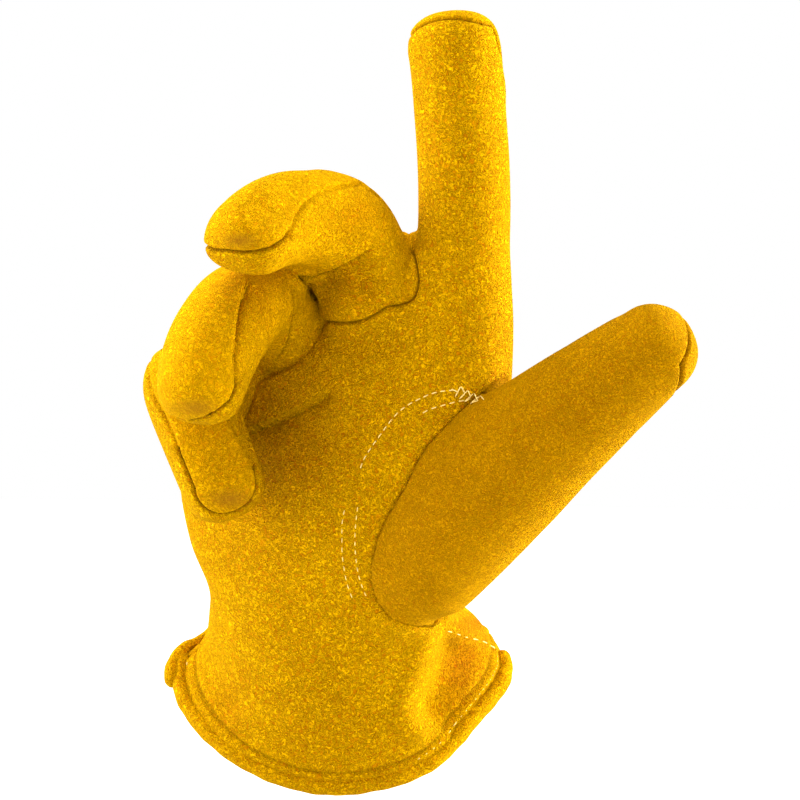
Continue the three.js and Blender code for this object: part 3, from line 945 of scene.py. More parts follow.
def gap_to(tree, verts):
    """The distance from each vertex to the nearest point of the tree."""
    return np.minimum([tree.find(vert)[2] for vert in verts.tolist()], NO_SEAM)


def laid_along(verts, edges):
    """Points laid along seam edges, a short step apart."""
    start, way = verts[edges[:, 0]], verts[edges[:, 1]] - verts[edges[:, 0]]
    parts = int(np.ceil(np.linalg.norm(way, axis=1).max() / SEAM_STEP))
    shares = (np.arange(parts + 1) / parts)[None, :, None]
    return (start[:, None] + way[:, None] * shares).reshape(-1, 3)


def cuff_height(verts):
    """How far each vertex lies above the cuff's edge, along the hand."""
    hand = limbs["hand"]
    angle = hand.read(verts)[1]
    return (verts - hand.centre[0]) @ hand.along[0] - hand.sag[0] * np.cos(2 * np.radians(angle))


seams, sides = seam_edges(tris, codes)
seam_tree = near_tree(laid_along(verts, seams))
seam_gap = gap_to(seam_tree, verts)
print("edges on seams:", len(seams))

# %% [markdown]
# Halving goes by marked vertices: an edge is split when both its ends are marked, and the triangles beside
# it are split to match, into two, three or four. So no gap opens between fine and coarse places.

# %% A finer mesh where it matters
REFINE_SEAM = 2.1
REFINE_FOLD = 3.2
REFINE_CUFF = 4.6


def halved(verts, tris, codes, marked):
    """Splits every edge whose two ends are marked, and the triangles beside it."""
    edges = edges_of(tris)
    split = marked[edges].all(1)
    number = np.full(len(edges), -1)
    number[split] = len(verts) + np.arange(split.sum())
    keys = edges[:, 0].astype(np.int64) * len(verts) + edges[:, 1]
    verts = np.vstack([verts, verts[edges[split]].mean(1)])
    middle = []
    for a, b in ((0, 1), (1, 2), (2, 0)):
        pair = np.sort(tris[:, [a, b]], axis=1)
        key = pair[:, 0].astype(np.int64) * len(marked) + pair[:, 1]
        middle.append(number[np.searchsorted(keys, key)])
    middle = np.stack(middle, 1)
    count = (middle >= 0).sum(1)
    faces, labels = [tris[count == 0]], [codes[count == 0]]
    for turn in range(3):
        t, m = np.roll(tris, -turn, axis=1), np.roll(middle, -turn, axis=1)
        one = (count == 1) & (m[:, 0] >= 0)
        faces += [np.stack([t[one, 0], m[one, 0], t[one, 2]], 1),
                  np.stack([m[one, 0], t[one, 1], t[one, 2]], 1)]
        labels += [codes[one]] * 2
        two = (count == 2) & (m[:, 2] < 0)
        faces += [np.stack([m[two, 0], t[two, 1], m[two, 1]], 1),
                  np.stack([t[two, 0], m[two, 0], m[two, 1]], 1),
                  np.stack([t[two, 0], m[two, 1], t[two, 2]], 1)]
        labels += [codes[two]] * 3
    three = count == 3
    t, m = tris[three], middle[three]
    faces += [np.stack([t[:, 0], m[:, 0], m[:, 2]], 1), np.stack([m[:, 0], t[:, 1], m[:, 1]], 1),
              np.stack([m[:, 2], m[:, 1], t[:, 2]], 1), m]
    labels += [codes[three]] * 4
    return verts, np.concatenate(faces), np.concatenate(labels)


marked = seam_gap < REFINE_SEAM
marked |= near_folds(verts, REFINE_FOLD) | (cuff_height(verts) < REFINE_CUFF)
coarse_count = len(verts)
verts, tris, codes = halved(verts, tris, codes, marked)
verts[coarse_count:] = seated(verts[coarse_count:], rounds=1)
print("triangles:", {name: int((codes == CODE[name]).sum()) for name in PANELS})

# %% [markdown]
# Not all seams look alike. An open one is a narrow groove painted dark with shade, a soft one a shallow
# valley with a little painted shade, and a faint one hardly shows. The side seam of the palm is soft
# along the hand and open only over two fingertips.

# %% Kinds of seam
SEAM_FAR = 7.0
# The last value of each kind is how much painted shade darkens its groove.
SEAM_KINDS = {"open": {"depth": 0.55, "width": 0.42, "lips": 1.0, "painted_dark": 0.9},
              "soft": {"depth": 0.42, "width": 0.6, "lips": 0.8, "painted_dark": 0.12},
              "faint": {"depth": 0.1, "width": 0.5, "lips": 0.0, "painted_dark": 0.0}}
OPEN_SEAMS = [("palm_panel", "middle_front"), ("middle_front", "back_panel"),
              ("ring_front", "back_panel"), ("palm_panel", "back_panel"), ("thumb", "thumb_rear"),
              ("palm_panel", "side_strip_middle_inner")]
FAINT_SEAMS = [("middle_front", "side_strip_middle_inner"), ("ring_front", "side_strip_ring_inner"),
               ("palm_panel", "side_strip_index")]
TIP_REACH = 16.0
seams, sides = seam_edges(tris, codes)
kind_of_pair = np.full((len(PANELS), len(PANELS)), "soft", dtype=object)
for kind, pairs in (("open", OPEN_SEAMS), ("faint", FAINT_SEAMS)):
    for a, b in pairs:
        kind_of_pair[CODE[a], CODE[b]] = kind_of_pair[CODE[b], CODE[a]] = kind
seam_kind = kind_of_pair[sides[:, 0], sides[:, 1]]
palm_to_back = (sides == CODE["palm_panel"]).any(1) & (sides == CODE["back_panel"]).any(1)
middles = verts[seams].mean(1)
at_tip = np.zeros(len(seams), bool)
for name in ("index", "little"):
    at_tip |= np.linalg.norm(middles - limbs[name].centre[-1], axis=1) < TIP_REACH
seam_kind[palm_to_back & ~at_tip] = "soft"
seam_gaps = {}
reached = gap_to(seam_tree, verts) < SEAM_FAR
for kind in SEAM_KINDS:
    seam_gaps[kind] = np.full(len(verts), NO_SEAM)
    kind_tree = near_tree(laid_along(verts, seams[seam_kind == kind]))
    seam_gaps[kind][reached] = gap_to(kind_tree, verts[reached])
print("edges of each kind:", {kind: int((seam_kind == kind).sum()) for kind in SEAM_KINDS})

# %% [markdown]
# Now every vertex moves along its own direction out of the leather: up by the folds and by the lips beside
# a seam, down in the groove. The cuff has a groove along its edge, where the rolled strip is stitched
# down, and a low ridge below it.

# %% Raise the folds, lips and grooves
LIP_AT = 1.5
LIPS = {"thumb": 0.55, "thumb_rear": 0.4, "palm_panel": 0.35, "back_panel": 0.5, "middle_front": 0.4,
        "ring_front": 0.4}
STRIP_LIP = 0.15
SEAM_SHADE_WIDTH = 0.4
CUFF_ROWS = {"stitch_height": 3.4, "stitch_depth": 0.48, "ridge_height": 1.7, "ridge": 0.25, "reach": 0.8}


def vertex_normals(verts, tris):
    a, b, c = verts[tris[:, 0]], verts[tris[:, 1]], verts[tris[:, 2]]
    flat = np.cross(b - a, c - a)
    total = np.zeros_like(verts)
    for axis in range(3):
        for k in range(3):
            total[:, axis] += np.bincount(tris[:, k], flat[:, axis], len(verts))
    return total / np.maximum(np.linalg.norm(total, axis=1, keepdims=True), 1e-12)


lip = np.array([LIPS.get(name, STRIP_LIP) for name in PANELS])
vertex_lip = np.zeros(len(verts))
vertex_lip[tris.ravel()] = lip[np.repeat(codes, 3)]
normals = vertex_normals(verts, tris)
readings = read_limbs(verts)
owner = owners(verts, readings)
fold_height, fold_shade = fold_heights(verts, normals, owner)
height = fold_height.copy()
crease_shade = fold_shade.copy()
for kind, gap in seam_gaps.items():
    shape = SEAM_KINDS[kind]
    groove = np.exp(-(gap / shape["width"]) ** 2)
    swell = gap / LIP_AT * np.exp(1 - gap / LIP_AT)
    height += shape["lips"] * vertex_lip * swell * (1 - groove) - shape["depth"] * groove
    # painted shade along the seam's groove
    crease_shade = np.maximum(crease_shade, shape["painted_dark"] * np.exp(-(gap / SEAM_SHADE_WIDTH) ** 2))
above = cuff_height(verts)
cuff_groove = np.exp(-((above - CUFF_ROWS["stitch_height"]) / CUFF_ROWS["reach"]) ** 2)
cuff_ridge = np.exp(-((above - CUFF_ROWS["ridge_height"]) / CUFF_ROWS["reach"]) ** 2)
height += CUFF_ROWS["ridge"] * cuff_ridge - CUFF_ROWS["stitch_depth"] * cuff_groove
used = np.zeros(len(verts), bool)
used[tris.ravel()] = True
verts = verts + normals * height[:, None]
print("deepest and highest change in mm:", round(height[used].min(), 2), round(height[used].max(), 2))

# %% [markdown]
# Three things about the surface are kept for the finish: how much painted shade darkens a seam, a crease
# or the cuff's stitched groove, how much it has been rubbed, as at the fingertips, where the nap has gone
# smooth and brown, and how much painted shade makes its colour darker and more orange, as in the hollow
# of the cuff. The last two are soft ovals in the picture's pixels: the limb, the middle, half the width and
# half the height.

# %% Painted shade in creases and hollows, and worn places
STITCH_LINE_SHADE = 0.5
STITCH_LINE_WIDTH = 0.5
WORN = {"middle_tip": ("middle", (240, 241), 21, 9), "ring_tip": ("ring", (195, 408), 25, 11),
        "little_tip": ("little", (231, 499), 26, 12)}
# Painted shade: in these ovals the colour is painted darker and more orange, as light bounced in a shaded
# hollow is. This is full in the cuff's hollow and the top of its thumb side, and faint in shaded places on
# the middle and ring fingers, the palm and the cuff's left side.
SHADE_OVALS = {"cuff_hollow": ("hand", (466, 668), 30, 60), "cuff_top": ("hand", (474, 626), 26, 14)}
FAINT_SHADE_OVALS = {"middle_side": ("middle", (356, 214), 34, 26), "middle_base": ("middle", (350, 285), 34, 22),
              "ring_side": ("ring", (262, 300), 14, 34), "palm_hollow": ("hand", (300, 455), 60, 40),
              "cuff_left": ("hand", (228, 704), 22, 44)}
FAINT = 0.4
WORN_EDGE, SHADE_EDGE = 1.4, 1.3
pixels = in_picture(verts)


def in_ovals(ovals, edge):
    """1 in the middle of ovals of the picture, on the side that faces the viewer, and 0 outside."""
    inside = np.zeros(len(verts))
    for limb, centre, wide, high in ovals.values():
        gap = np.hypot((pixels[:, 0] - centre[0]) / wide, (pixels[:, 1] - centre[1]) / high)
        mine = (owner == list(limbs).index(limb)) & (normals[:, 2] > 0)
        inside[mine] = np.maximum(inside, ease((edge - gap) / edge))[mine]
    return inside


# Painted shade along the cuff's stitched groove.
stitch_line = np.exp(-((above - CUFF_ROWS["stitch_height"]) / STITCH_LINE_WIDTH) ** 2)
crease_shade = np.maximum(crease_shade, STITCH_LINE_SHADE * stitch_line)
worn = in_ovals(WORN, WORN_EDGE)
painted_shade = np.maximum(in_ovals(SHADE_OVALS, SHADE_EDGE), FAINT * in_ovals(FAINT_SHADE_OVALS, SHADE_EDGE))
print("creased, worn and warm vertices:", [int((field > 0.5).sum()) for field in (crease_shade, worn, painted_shade)])

# %% [markdown]
# Last, a few soft local pushes bring the outline closer to the photograph, as a maker pulls the leather
# into shape on a former. Each has a middle, a reach and a move, in mm. They act on all pieces alike, so
# seams, rolled edge and stitches stay together.

# %% Soft pushes
PUSHES = [((42, -39, -14), 17, (-3.5, 2.8, 0)), ((-41, -11, -34), 11, (3.0, -2.4, 0)),
          ((-46, -23, -32), 9, (1.4, 2.2, 0)), ((-35, -10, -28), 6, (-1.2, 0, 0)),
          ((12, -58, -10), 18, (0, 0.7, 0)), ((-32, 87.5, 56), 5, (-1.6, -0.5, 0)),
          ((-22, 83, 51), 9, (0, 1.9, 0)), ((94, 66, 50), 12, (0, 0.7, 0)),
          ((-9.5, 115, 34), 4.5, (0, -0.8, 0)), ((42, -14, -22), 12, (1.3, 0.8, 0))]


def pushed(points):
    """Points after the soft pushes."""
    points = np.array(points, float)
    for middle, reach, move in PUSHES:
        gap = np.linalg.norm(points - np.array(middle), axis=1) / reach
        points += np.exp(-gap ** 2)[:, None] * np.array(move)
    return points


print("longest push in mm:", round(np.linalg.norm(pushed(verts) - verts, axis=1).max(), 1))

# %% [markdown]
# Leather has thickness, and the glove is open at the cuff, so each piece gets an inner face 1.6 mm under
# the outer one and a rim that joins them. The directions to the inside come from the whole skin, so two
# pieces meet at a seam with no step, and keep one smooth shading across it.

# %% The inside of the leather
INNER_ROUNDS = 3
INNER_SHARE = 0.4
outward = vertex_normals(verts, tris)
inner = verts - outward * LEATHER
for _ in range(INNER_ROUNDS):
    inner = relaxed(inner, edges_of(tris), INNER_SHARE)
thickness = np.linalg.norm(inner - verts, axis=1)[used]
print("leather in mm, middle value:", round(float(np.median(thickness)), 2))

# %% [markdown]
# A piece keeps its own copy of its points, so it can be lifted out of the glove by itself. Its painted
# shade in creases and hollows and its worn places go with it as numbers on its points, which the finish
# reads.

# %% Build the pieces of leather
def rim_edges(tris):
    """The directed edges at the border of a set of triangles."""
    directed = np.concatenate([tris[:, [0, 1]], tris[:, [1, 2]], tris[:, [2, 0]]])
    key = np.sort(directed, axis=1)
    _, index, count = np.unique(key, axis=0, return_index=True, return_counts=True)
    return directed[index[count == 1]]


def new_object(name, verts, faces, normals=None, values=None):
    """An object from points in mm, with its shading directions and values stored on its points."""
    mesh = bpy.data.meshes.new(name)
    mesh.from_pydata(world(pushed(verts)).tolist(), [], faces)
    mesh.update()
    mesh.shade_smooth()
    if normals is not None:
        mesh.normals_split_custom_set_from_vertices((normals @ TO_WORLD.T).tolist())
    for key, numbers in (values or {}).items():
        layer = mesh.attributes.new(key, "FLOAT", "POINT")
        layer.data.foreach_set("value", numbers.astype(np.float32))
    piece = bpy.data.objects.new(name, mesh)
    bpy.context.scene.collection.objects.link(piece)
    return piece


def leather_piece(name, tris):
    points = np.unique(tris)
    number = np.full(len(verts), -1)
    number[points] = np.arange(len(points))
    outer = number[tris]
    rim = rim_edges(outer)
    n = len(points)
    inner_faces = outer[:, ::-1] + n
    walls = [np.stack([rim[:, 1], rim[:, 0], rim[:, 0] + n], 1),
             np.stack([rim[:, 1], rim[:, 0] + n, rim[:, 1] + n], 1)]
    faces = np.concatenate([outer, inner_faces, *walls]).tolist()
    shading = np.vstack([outward[points], -outward[points]])
    fields = {"crease_shade": crease_shade, "worn": worn, "painted_shade": painted_shade}
    values = {key: np.concatenate([numbers[points]] * 2) for key, numbers in fields.items()}
    return new_object(name, np.vstack([verts[points], inner[points]]), faces, shading, values)


pieces = {}
for name in PIECES:
    mine = codes == CODE[name]
    if name == "thumb":
        mine |= codes == CODE["thumb_rear"]
    pieces[name] = leather_piece(name + "_suede", tris[mine])
    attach(pieces[name], "root")
    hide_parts(name)
print("triangles:", {name: len(piece.data.polygons) for name, piece in pieces.items()})

# %% [markdown]
# The edge of the cuff is bound with a strip of the same leather, rolled over a core and stitched down, in
# two lengths with rounded ends. At the little finger side the rear roll stands a little off the edge. Both
# follow the cuff's edge, which is a squarish oval whose two ends stand up.

# %% The edge of the cuff
def rim_point(angle, inset):
    """A point of the cuff's edge at an angle round the hand, moved in towards the middle."""
    hand = limbs["hand"]
    power = 2 / hand.full[0]
    c, s = np.cos(angle), np.sin(angle)
    side = (hand.wide[0] - inset) * np.sign(c) * np.abs(c) ** power
    front = (hand.deep[0] - inset) * np.sign(s) * np.abs(s) ** power
    point = hand.centre[0] + hand.across[0] * side[:, None] + hand.front[0] * front[:, None]
    return point + hand.along[0] * (hand.sag[0] * np.cos(2 * angle))[:, None]


def tube_faces(steps, sides):
    """The faces of a closed tube of rings, with a flat face at each end."""
    faces = [list(range(sides))[::-1]]
    for i in range(steps - 1):
        for k in range(sides):
            a, b = i * sides + k, i * sides + (k + 1) % sides
            faces.append([a, b, b + sides, a + sides])
    return faces + [list(range((steps - 1) * sides, steps * sides))]


round_the_cuff = rim_point(np.radians(np.arange(360)), 0)
print("length of the cuff's edge in mm:",
      round(np.linalg.norm(round_the_cuff - np.roll(round_the_cuff, 1, axis=0), axis=1).sum()))

# %% [markdown]
# A roll is swept along that edge: an oval section, a little thicker and thinner along the way as hand work
# is, and at both ends a few shrinking rings that round it off.

# %% The two rolls
ROLL = {"thick": 4.7, "high": 6.0, "drop": 2.5, "wobble": 0.1}
ROLLS = {
    "cuff_binding_front": {"start": -15, "end": 182, "stand_off": 0.0},
    "cuff_binding_back": {"start": 172, "end": 326, "stand_off": 2.2},
}
STAND_OFF_FADE = 45.0
ROLL_STEPS = 190
ROLL_SIDES = 20
CAP_STEPS = 5
CAP_TURN = 88
WOBBLES = (23, 41)


def roll(name, row):
    angle = np.radians(np.linspace(row["start"], row["end"], ROLL_STEPS))
    outside = unit(rim_point(angle, -1) - rim_point(angle, 1))
    along = limbs["hand"].along[0]
    apart = row["stand_off"] * ease(1 - (np.degrees(angle) - row["start"]) / STAND_OFF_FADE)
    middle = rim_point(angle, LEATHER / 2) - along * ROLL["drop"] + outside * apart[:, None]
    wobble = np.sin(angle * WOBBLES[0]) + np.sin(angle * WOBBLES[1] + 1)
    size = 1 + ROLL["wobble"] / 2 * wobble / 2
    phi = np.radians(np.linspace(0, CAP_TURN, CAP_STEPS))[1:]
    radius = ROLL["thick"] / 2
    first, last = unit(middle[0] - middle[1]), unit(middle[-1] - middle[-2])
    middle = np.vstack([middle[0] + first * (radius * np.sin(phi[::-1]))[:, None], middle,
                        middle[-1] + last * (radius * np.sin(phi))[:, None]])
    ends = len(phi)
    outside = np.vstack([outside[:1].repeat(ends, 0), outside, outside[-1:].repeat(ends, 0)])
    size = np.concatenate([np.cos(phi[::-1]), size, np.cos(phi)])
    rings = []
    for turn in np.arange(ROLL_SIDES) / ROLL_SIDES * 2 * np.pi:
        wide = (size * radius * math.cos(turn))[:, None]
        high = (size * ROLL["high"] / 2 * math.sin(turn))[:, None]
        rings.append(middle + outside * wide + along * high)
    points = np.stack(rings, 1).reshape(-1, 3)
    return new_object(name + "_suede", points, tube_faces(len(middle), ROLL_SIDES))


for name, row in ROLLS.items():
    pieces[name] = roll(name, row)
    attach(pieces[name], "root")
    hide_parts(name)
print("rolls:", {name: len(pieces[name].data.polygons) for name in ROLLS})

# %% [markdown]
# Cream thread holds the thumb's seam allowance down on the palm in two rows, with a dense bar of stitches
# at the top, and it shows again on the cuff. Each row is given as a line of the photograph, and how deep
# its thread lies, in mm: the less of a thread shows, the deeper it has been pulled into the nap.

# %% Where the stitches show
PICTURE_ROWS = {
    "thumb_outer_row": ([(456, 390), (444, 391), (433, 393), (424, 397), (415, 401), (402, 409), (395, 416),
                         (389, 423), (379, 437), (371, 448), (363, 461), (360, 470)], 0.0),
    "thumb_outer_row_low": ([(345, 508), (342, 522), (342, 535), (342, 553), (344, 568), (347, 584),
                             (353, 600)], -0.2),
    "thumb_inner_row": ([(466, 400), (455, 402), (441, 406), (430, 409), (421, 414)], -0.05),
    "thumb_inner_row_low": ([(358, 505), (356, 520), (355, 535), (355, 548), (357, 567), (361, 584),
                             (367, 598)], -0.2),
}
CUFF_SIDE_ROW = ([(446, 631), (454, 633), (461, 636), (470, 640), (479, 644), (490, 650), (496, 653)], -0.24)
BAR_TACK = [(451, 389), (458, 392), (455, 397), (461, 386), (465, 394), (459, 399), (468, 390), (471, 398),
            (464, 402), (474, 393), (478, 401), (470, 404), (480, 396), (484, 400)]
BAR_LIFT = 0.1
CUFF_STITCHES = [{"start": -12, "end": 62, "sink": -0.3}, {"start": 64, "end": 172, "sink": -0.38},
                 {"start": 174, "end": 180, "sink": -0.05}]
print("rows in the picture:", len(PICTURE_ROWS) + 1, "stretches round the cuff:", len(CUFF_STITCHES))

# %% [markdown]
# Rays from the eye through the picture find the leather under a row, with the direction out of it. The
# holes are then spread evenly along the row, one stitch length apart.

# %% Lay the rows on the leather
STITCH_PITCH = 2.5
CUFF_RADIUS = 42
skin_tree = BVHTree.FromPolygons(verts.tolist(), tris.tolist())


def under_pixels(pixels):
    """The points of the leather that show at pixels of the photograph, and the directions out of it."""
    places, ups = [], []
    for way in sight_to(pixels):
        place, up, _, _ = skin_tree.ray_cast(Vector(EYE), Vector(way))
        places.append(place)
        ups.append(up if up.dot(Vector(way)) < 0 else -up)
    return np.array(places), np.array(ups)


def evenly(line, step):
    """Points at an even step along a smooth line."""
    line = smooth_rows(line, 6)
    done = np.concatenate([[0], np.cumsum(np.linalg.norm(np.diff(line, axis=0), axis=1))])
    count = max(2, round(done[-1] / step) + 1)
    at = np.linspace(0, done[-1], count)
    return np.stack([np.interp(at, done, line[:, k]) for k in range(line.shape[1])], 1)


def cuff_row(row):
    """Holes round the cuff at a height over its edge, on the leather's outside."""
    step = np.degrees(STITCH_PITCH / CUFF_RADIUS)
    angle = np.radians(np.arange(row["start"], row["end"], step))
    wanted = rim_point(angle, -1.0) + limbs["hand"].along[0] * CUFF_ROWS["stitch_height"]
    found = [skin_tree.find_nearest(Vector(p)) for p in wanted]
    outside = unit(rim_point(angle, -1) - rim_point(angle, 1))
    ups = np.array([f[1] for f in found])
    ups *= np.sign(np.einsum("ij,ij->i", ups, outside))[:, None]
    return np.array([f[0] for f in found]), ups


print("holes round the front of the cuff:", len(cuff_row(CUFF_STITCHES[1])[0]))

# %% [markdown]
# Each stitch is a short bent thread whose two ends dive into the leather, so no two stitches of a row
# touch. The dense bar at the top of the thumb's seam is one zigzag of them.

# %% Make the stitches
STITCH_SHARE = 0.74
THREAD = 0.19
THREAD_SIDES = 6
STITCH_SHAPE = {"along": (0.0, 0.18, 0.5, 0.82, 1.0), "lift": (-0.32, 0.1, 0.2, 0.1, -0.32),
                "size": (0.5, 0.95, 1.0, 0.95, 0.5)}


def stitch(start, end, up, sink):
    """One stitch as rings of points."""
    way = end - start
    side = unit(np.cross(up, way))
    up = unit(np.cross(way, side))
    rings = []
    for t, lift, size in zip(*STITCH_SHAPE.values()):
        middle = start + way * t + up * (lift + sink)
        for turn in np.arange(THREAD_SIDES) / THREAD_SIDES * 2 * np.pi:
            rings.append(middle + (side * math.cos(turn) + up * math.sin(turn)) * THREAD * size)
    return rings


def stitched(name, pairs):
    """One object with a stitch for each pair of holes (start, end, up, sink)."""
    points, faces = [], []
    tube = tube_faces(len(STITCH_SHAPE["along"]), THREAD_SIDES)
    for start, end, up, sink in pairs:
        faces += [[len(points) + i for i in face] for face in tube]
        points += stitch(start, end, up, sink)
    piece = new_object(name, np.array(points), faces)
    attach(piece, "root")
    return piece


def row_pairs(places, ups, sink):
    """The two holes of each stitch of a row, with the direction out of the leather and the depth."""
    pairs = []
    gap = (1 - STITCH_SHARE) / 2
    for i in range(len(places) - 1):
        way = places[i + 1] - places[i]
        pairs.append((places[i] + way * gap, places[i + 1] - way * gap, ups[i] + ups[i + 1], sink))
    return pairs


def picture_row(line, sink):
    return row_pairs(*under_pixels(evenly(line, STITCH_PITCH * PIXELS_PER_MM)), sink)


thumb_pairs = []
for line, sink in PICTURE_ROWS.values():
    thumb_pairs += picture_row(line, sink)
places, ups = under_pixels(BAR_TACK)
for i in range(len(places) - 1):
    thumb_pairs.append((places[i], places[i + 1], ups[i] + ups[i + 1], BAR_LIFT))
cuff_pairs = picture_row(*CUFF_SIDE_ROW)
for row in CUFF_STITCHES:
    cuff_pairs += row_pairs(*cuff_row(row), row["sink"])
stitching = [stitched("thumb_stitching", thumb_pairs), stitched("cuff_stitching", cuff_pairs)]
print("stitches:", len(thumb_pairs), "on the thumb's seam,", len(cuff_pairs), "on the cuff")

# %% [markdown]
# The finishes are worked out as sums. This small class wraps one output of a shader node, so that an
# expression such as 1 - mask adds the Math nodes by itself. Colours and vectors go through Vector Math
# and Mix nodes. One method makes any other node.

# %% A class for shader sums
class Flow:
    """An output of a node. Sums with it add Math nodes, or Vector Math nodes for a colour or vector."""

    def __init__(self, sheet, socket):
        self.sheet = sheet
        self.socket = socket

    def is_vector(self):
        return self.socket.type in ("VECTOR", "RGBA")

    def sum(self, operation, first, second):
        if any(isinstance(x, Flow) and x.is_vector() for x in (first, second)):
            pair = [x if isinstance(x, Flow) else (x, x, x) for x in (first, second)]
            return self.sheet.node("ShaderNodeVectorMath", {"operation": operation}, dict(enumerate(pair)))
        return self.sheet.node("ShaderNodeMath", {"operation": operation}, {0: first, 1: second})

    def __add__(self, other):
        return self.sum("ADD", self, other)

    def __radd__(self, other):
        return self.sum("ADD", other, self)

    def __sub__(self, other):
        return self.sum("SUBTRACT", self, other)

    def __rsub__(self, other):
        return self.sum("SUBTRACT", other, self)

    def __mul__(self, other):
        return self.sum("MULTIPLY", self, other)

    def __rmul__(self, other):
        return self.sum("MULTIPLY", other, self)

    def __abs__(self):
        return self.sheet.node("ShaderNodeMath", {"operation": "ABSOLUTE"}, {0: self})

    def held(self, low=0.0, high=1.0):
        return self.sheet.node("ShaderNodeClamp", {}, {"Value": self, "Min": low, "Max": high})

    def eased(self, low, high):
        """0 below one value, 1 above another, with a smooth step between."""
        settings = {"interpolation_type": "SMOOTHSTEP"}
        sockets = {"Value": self, "From Min": low, "From Max": high}
        return self.sheet.node("ShaderNodeMapRange", settings, sockets)


print("sums that a flow knows:", [name for name in vars(Flow) if name.startswith("__r") or name == "sum"])

# %% [markdown]
# A sheet is the node tree of one material. It makes the nodes, and its two shortcuts make the ones that
# suede needs most: a mix of two colours, and a noise given by the size of its features.

# %% A class for a sheet of nodes
class Sheet:
    """A sheet of shader nodes."""

    def __init__(self, tree):
        self.tree = tree
        tree.nodes.clear()

    def node(self, kind, settings=None, sockets=None, output=0):
        node = self.tree.nodes.new(kind)
        for key, value in (settings or {}).items():
            setattr(node, key, value)
        for key, value in (sockets or {}).items():
            if isinstance(value, Flow):
                self.tree.links.new(value.socket, node.inputs[key])
            else:
                node.inputs[key].default_value = value
        return Flow(self, node.outputs[output]) if node.outputs else node

    def mixed(self, share, first, second):
        """A colour between two others."""
        return self.node("ShaderNodeMix", {"data_type": "RGBA"}, {0: share, 6: first, 7: second}, output=2)

    def noise(self, place, size, detail=2.0, rough=0.5, swirl=0.0, output=0):
        """A noise whose features are about one size, in metres."""
        sockets = {"Vector": place, "Scale": 1 / size, "Detail": detail, "Roughness": rough,
                   "Distortion": swirl}
        return self.node("ShaderNodeTexNoise", {"noise_dimensions": "3D"}, sockets, output=output)

    def number(self, name):
        """A number that is stored on the points of the mesh."""
        return self.node("ShaderNodeAttribute", {"attribute_name": name}, output="Fac")

    def finish(self, sockets):
        """The surface of the material, with the given values and links."""
        shader = self.node("ShaderNodeBsdfPrincipled", {}, sockets)
        self.node("ShaderNodeOutputMaterial", {}, {"Surface": shader})


def material_sheet(name):
    material = bpy.data.materials.new(name)
    material.use_nodes = True
    return material, Sheet(material.node_tree)


print("a sheet can make:", [name for name in vars(Sheet) if not name.startswith("__")])

# %% [markdown]
# Suede is the raised, fuzzy side of leather. Its nap is a mat of short curly fibres: thin bright hairs
# over a darker bed, in clumps, with cloudy patches where it has been brushed. The thumb's nap is finer,
# and its colours are darker and redder. Colours are given as light, from 0 to 1 for red, green and blue.

# %% Colours and sizes of the nap
DEEP = (0.36, 0.112, 0.0, 1)
BRIGHT = (1.0, 0.605, 0.001, 1)
THUMB_DEEP = (0.2, 0.047, 0.0, 1)
THUMB_BRIGHT = (0.8, 0.435, 0.001, 1)
# The next two colours paint shade: a darker, more orange tint for shaded hollows, and the dark of shaded
# seams, creases and the cuff's stitched groove.
SHADE_TINT = (0.74, 0.54, 1.0, 1)
CREASE_SHADE_COLOUR = (0.14, 0.04, 0.0, 1)
WORN_COLOUR = (0.25, 0.115, 0.01, 1)
SHEEN_TINT = (1.0, 0.74, 0.0, 1)
SHINE_TINT = (1.0, 0.7, 0.05, 1)
WHITE = (1, 1, 1, 1)
SWIRL_SIZE, SWIRL_BEND = 0.006, 0.0022
STRAND_STEEPNESS = 9
CLUMP_TO_HAIR, FLECK_TO_HAIR = 2.6, 0.42
CLOUD_SIZE, PATCH_SIZE = 0.011, 0.035
STRAND_RISE, NAP_RISE, CLUMP_RISE, FLECK_RISE = 0.75, 0.3, 0.22, 0.7
MEAN_RISE = 0.87
CLOUD_TONE, PATCH_TONE = 0.16, 0.14
WORN_SHARE = 0.7
SHADE_PLAIN, SHADE_FLECKED = 0.55, 0.6
print("a hair of the palm's nap is about 1 mm long, a cloud", CLOUD_SIZE * 1000, "mm wide")

# %% [markdown]
# The hairs are the narrow bands where a swirled noise crosses its middle value. The same height shades the
# colour and drives the bump, so the bright hairs also stand up, less so where the nap is worn. Sheen gives
# the soft glow at the outline that short fibres have.

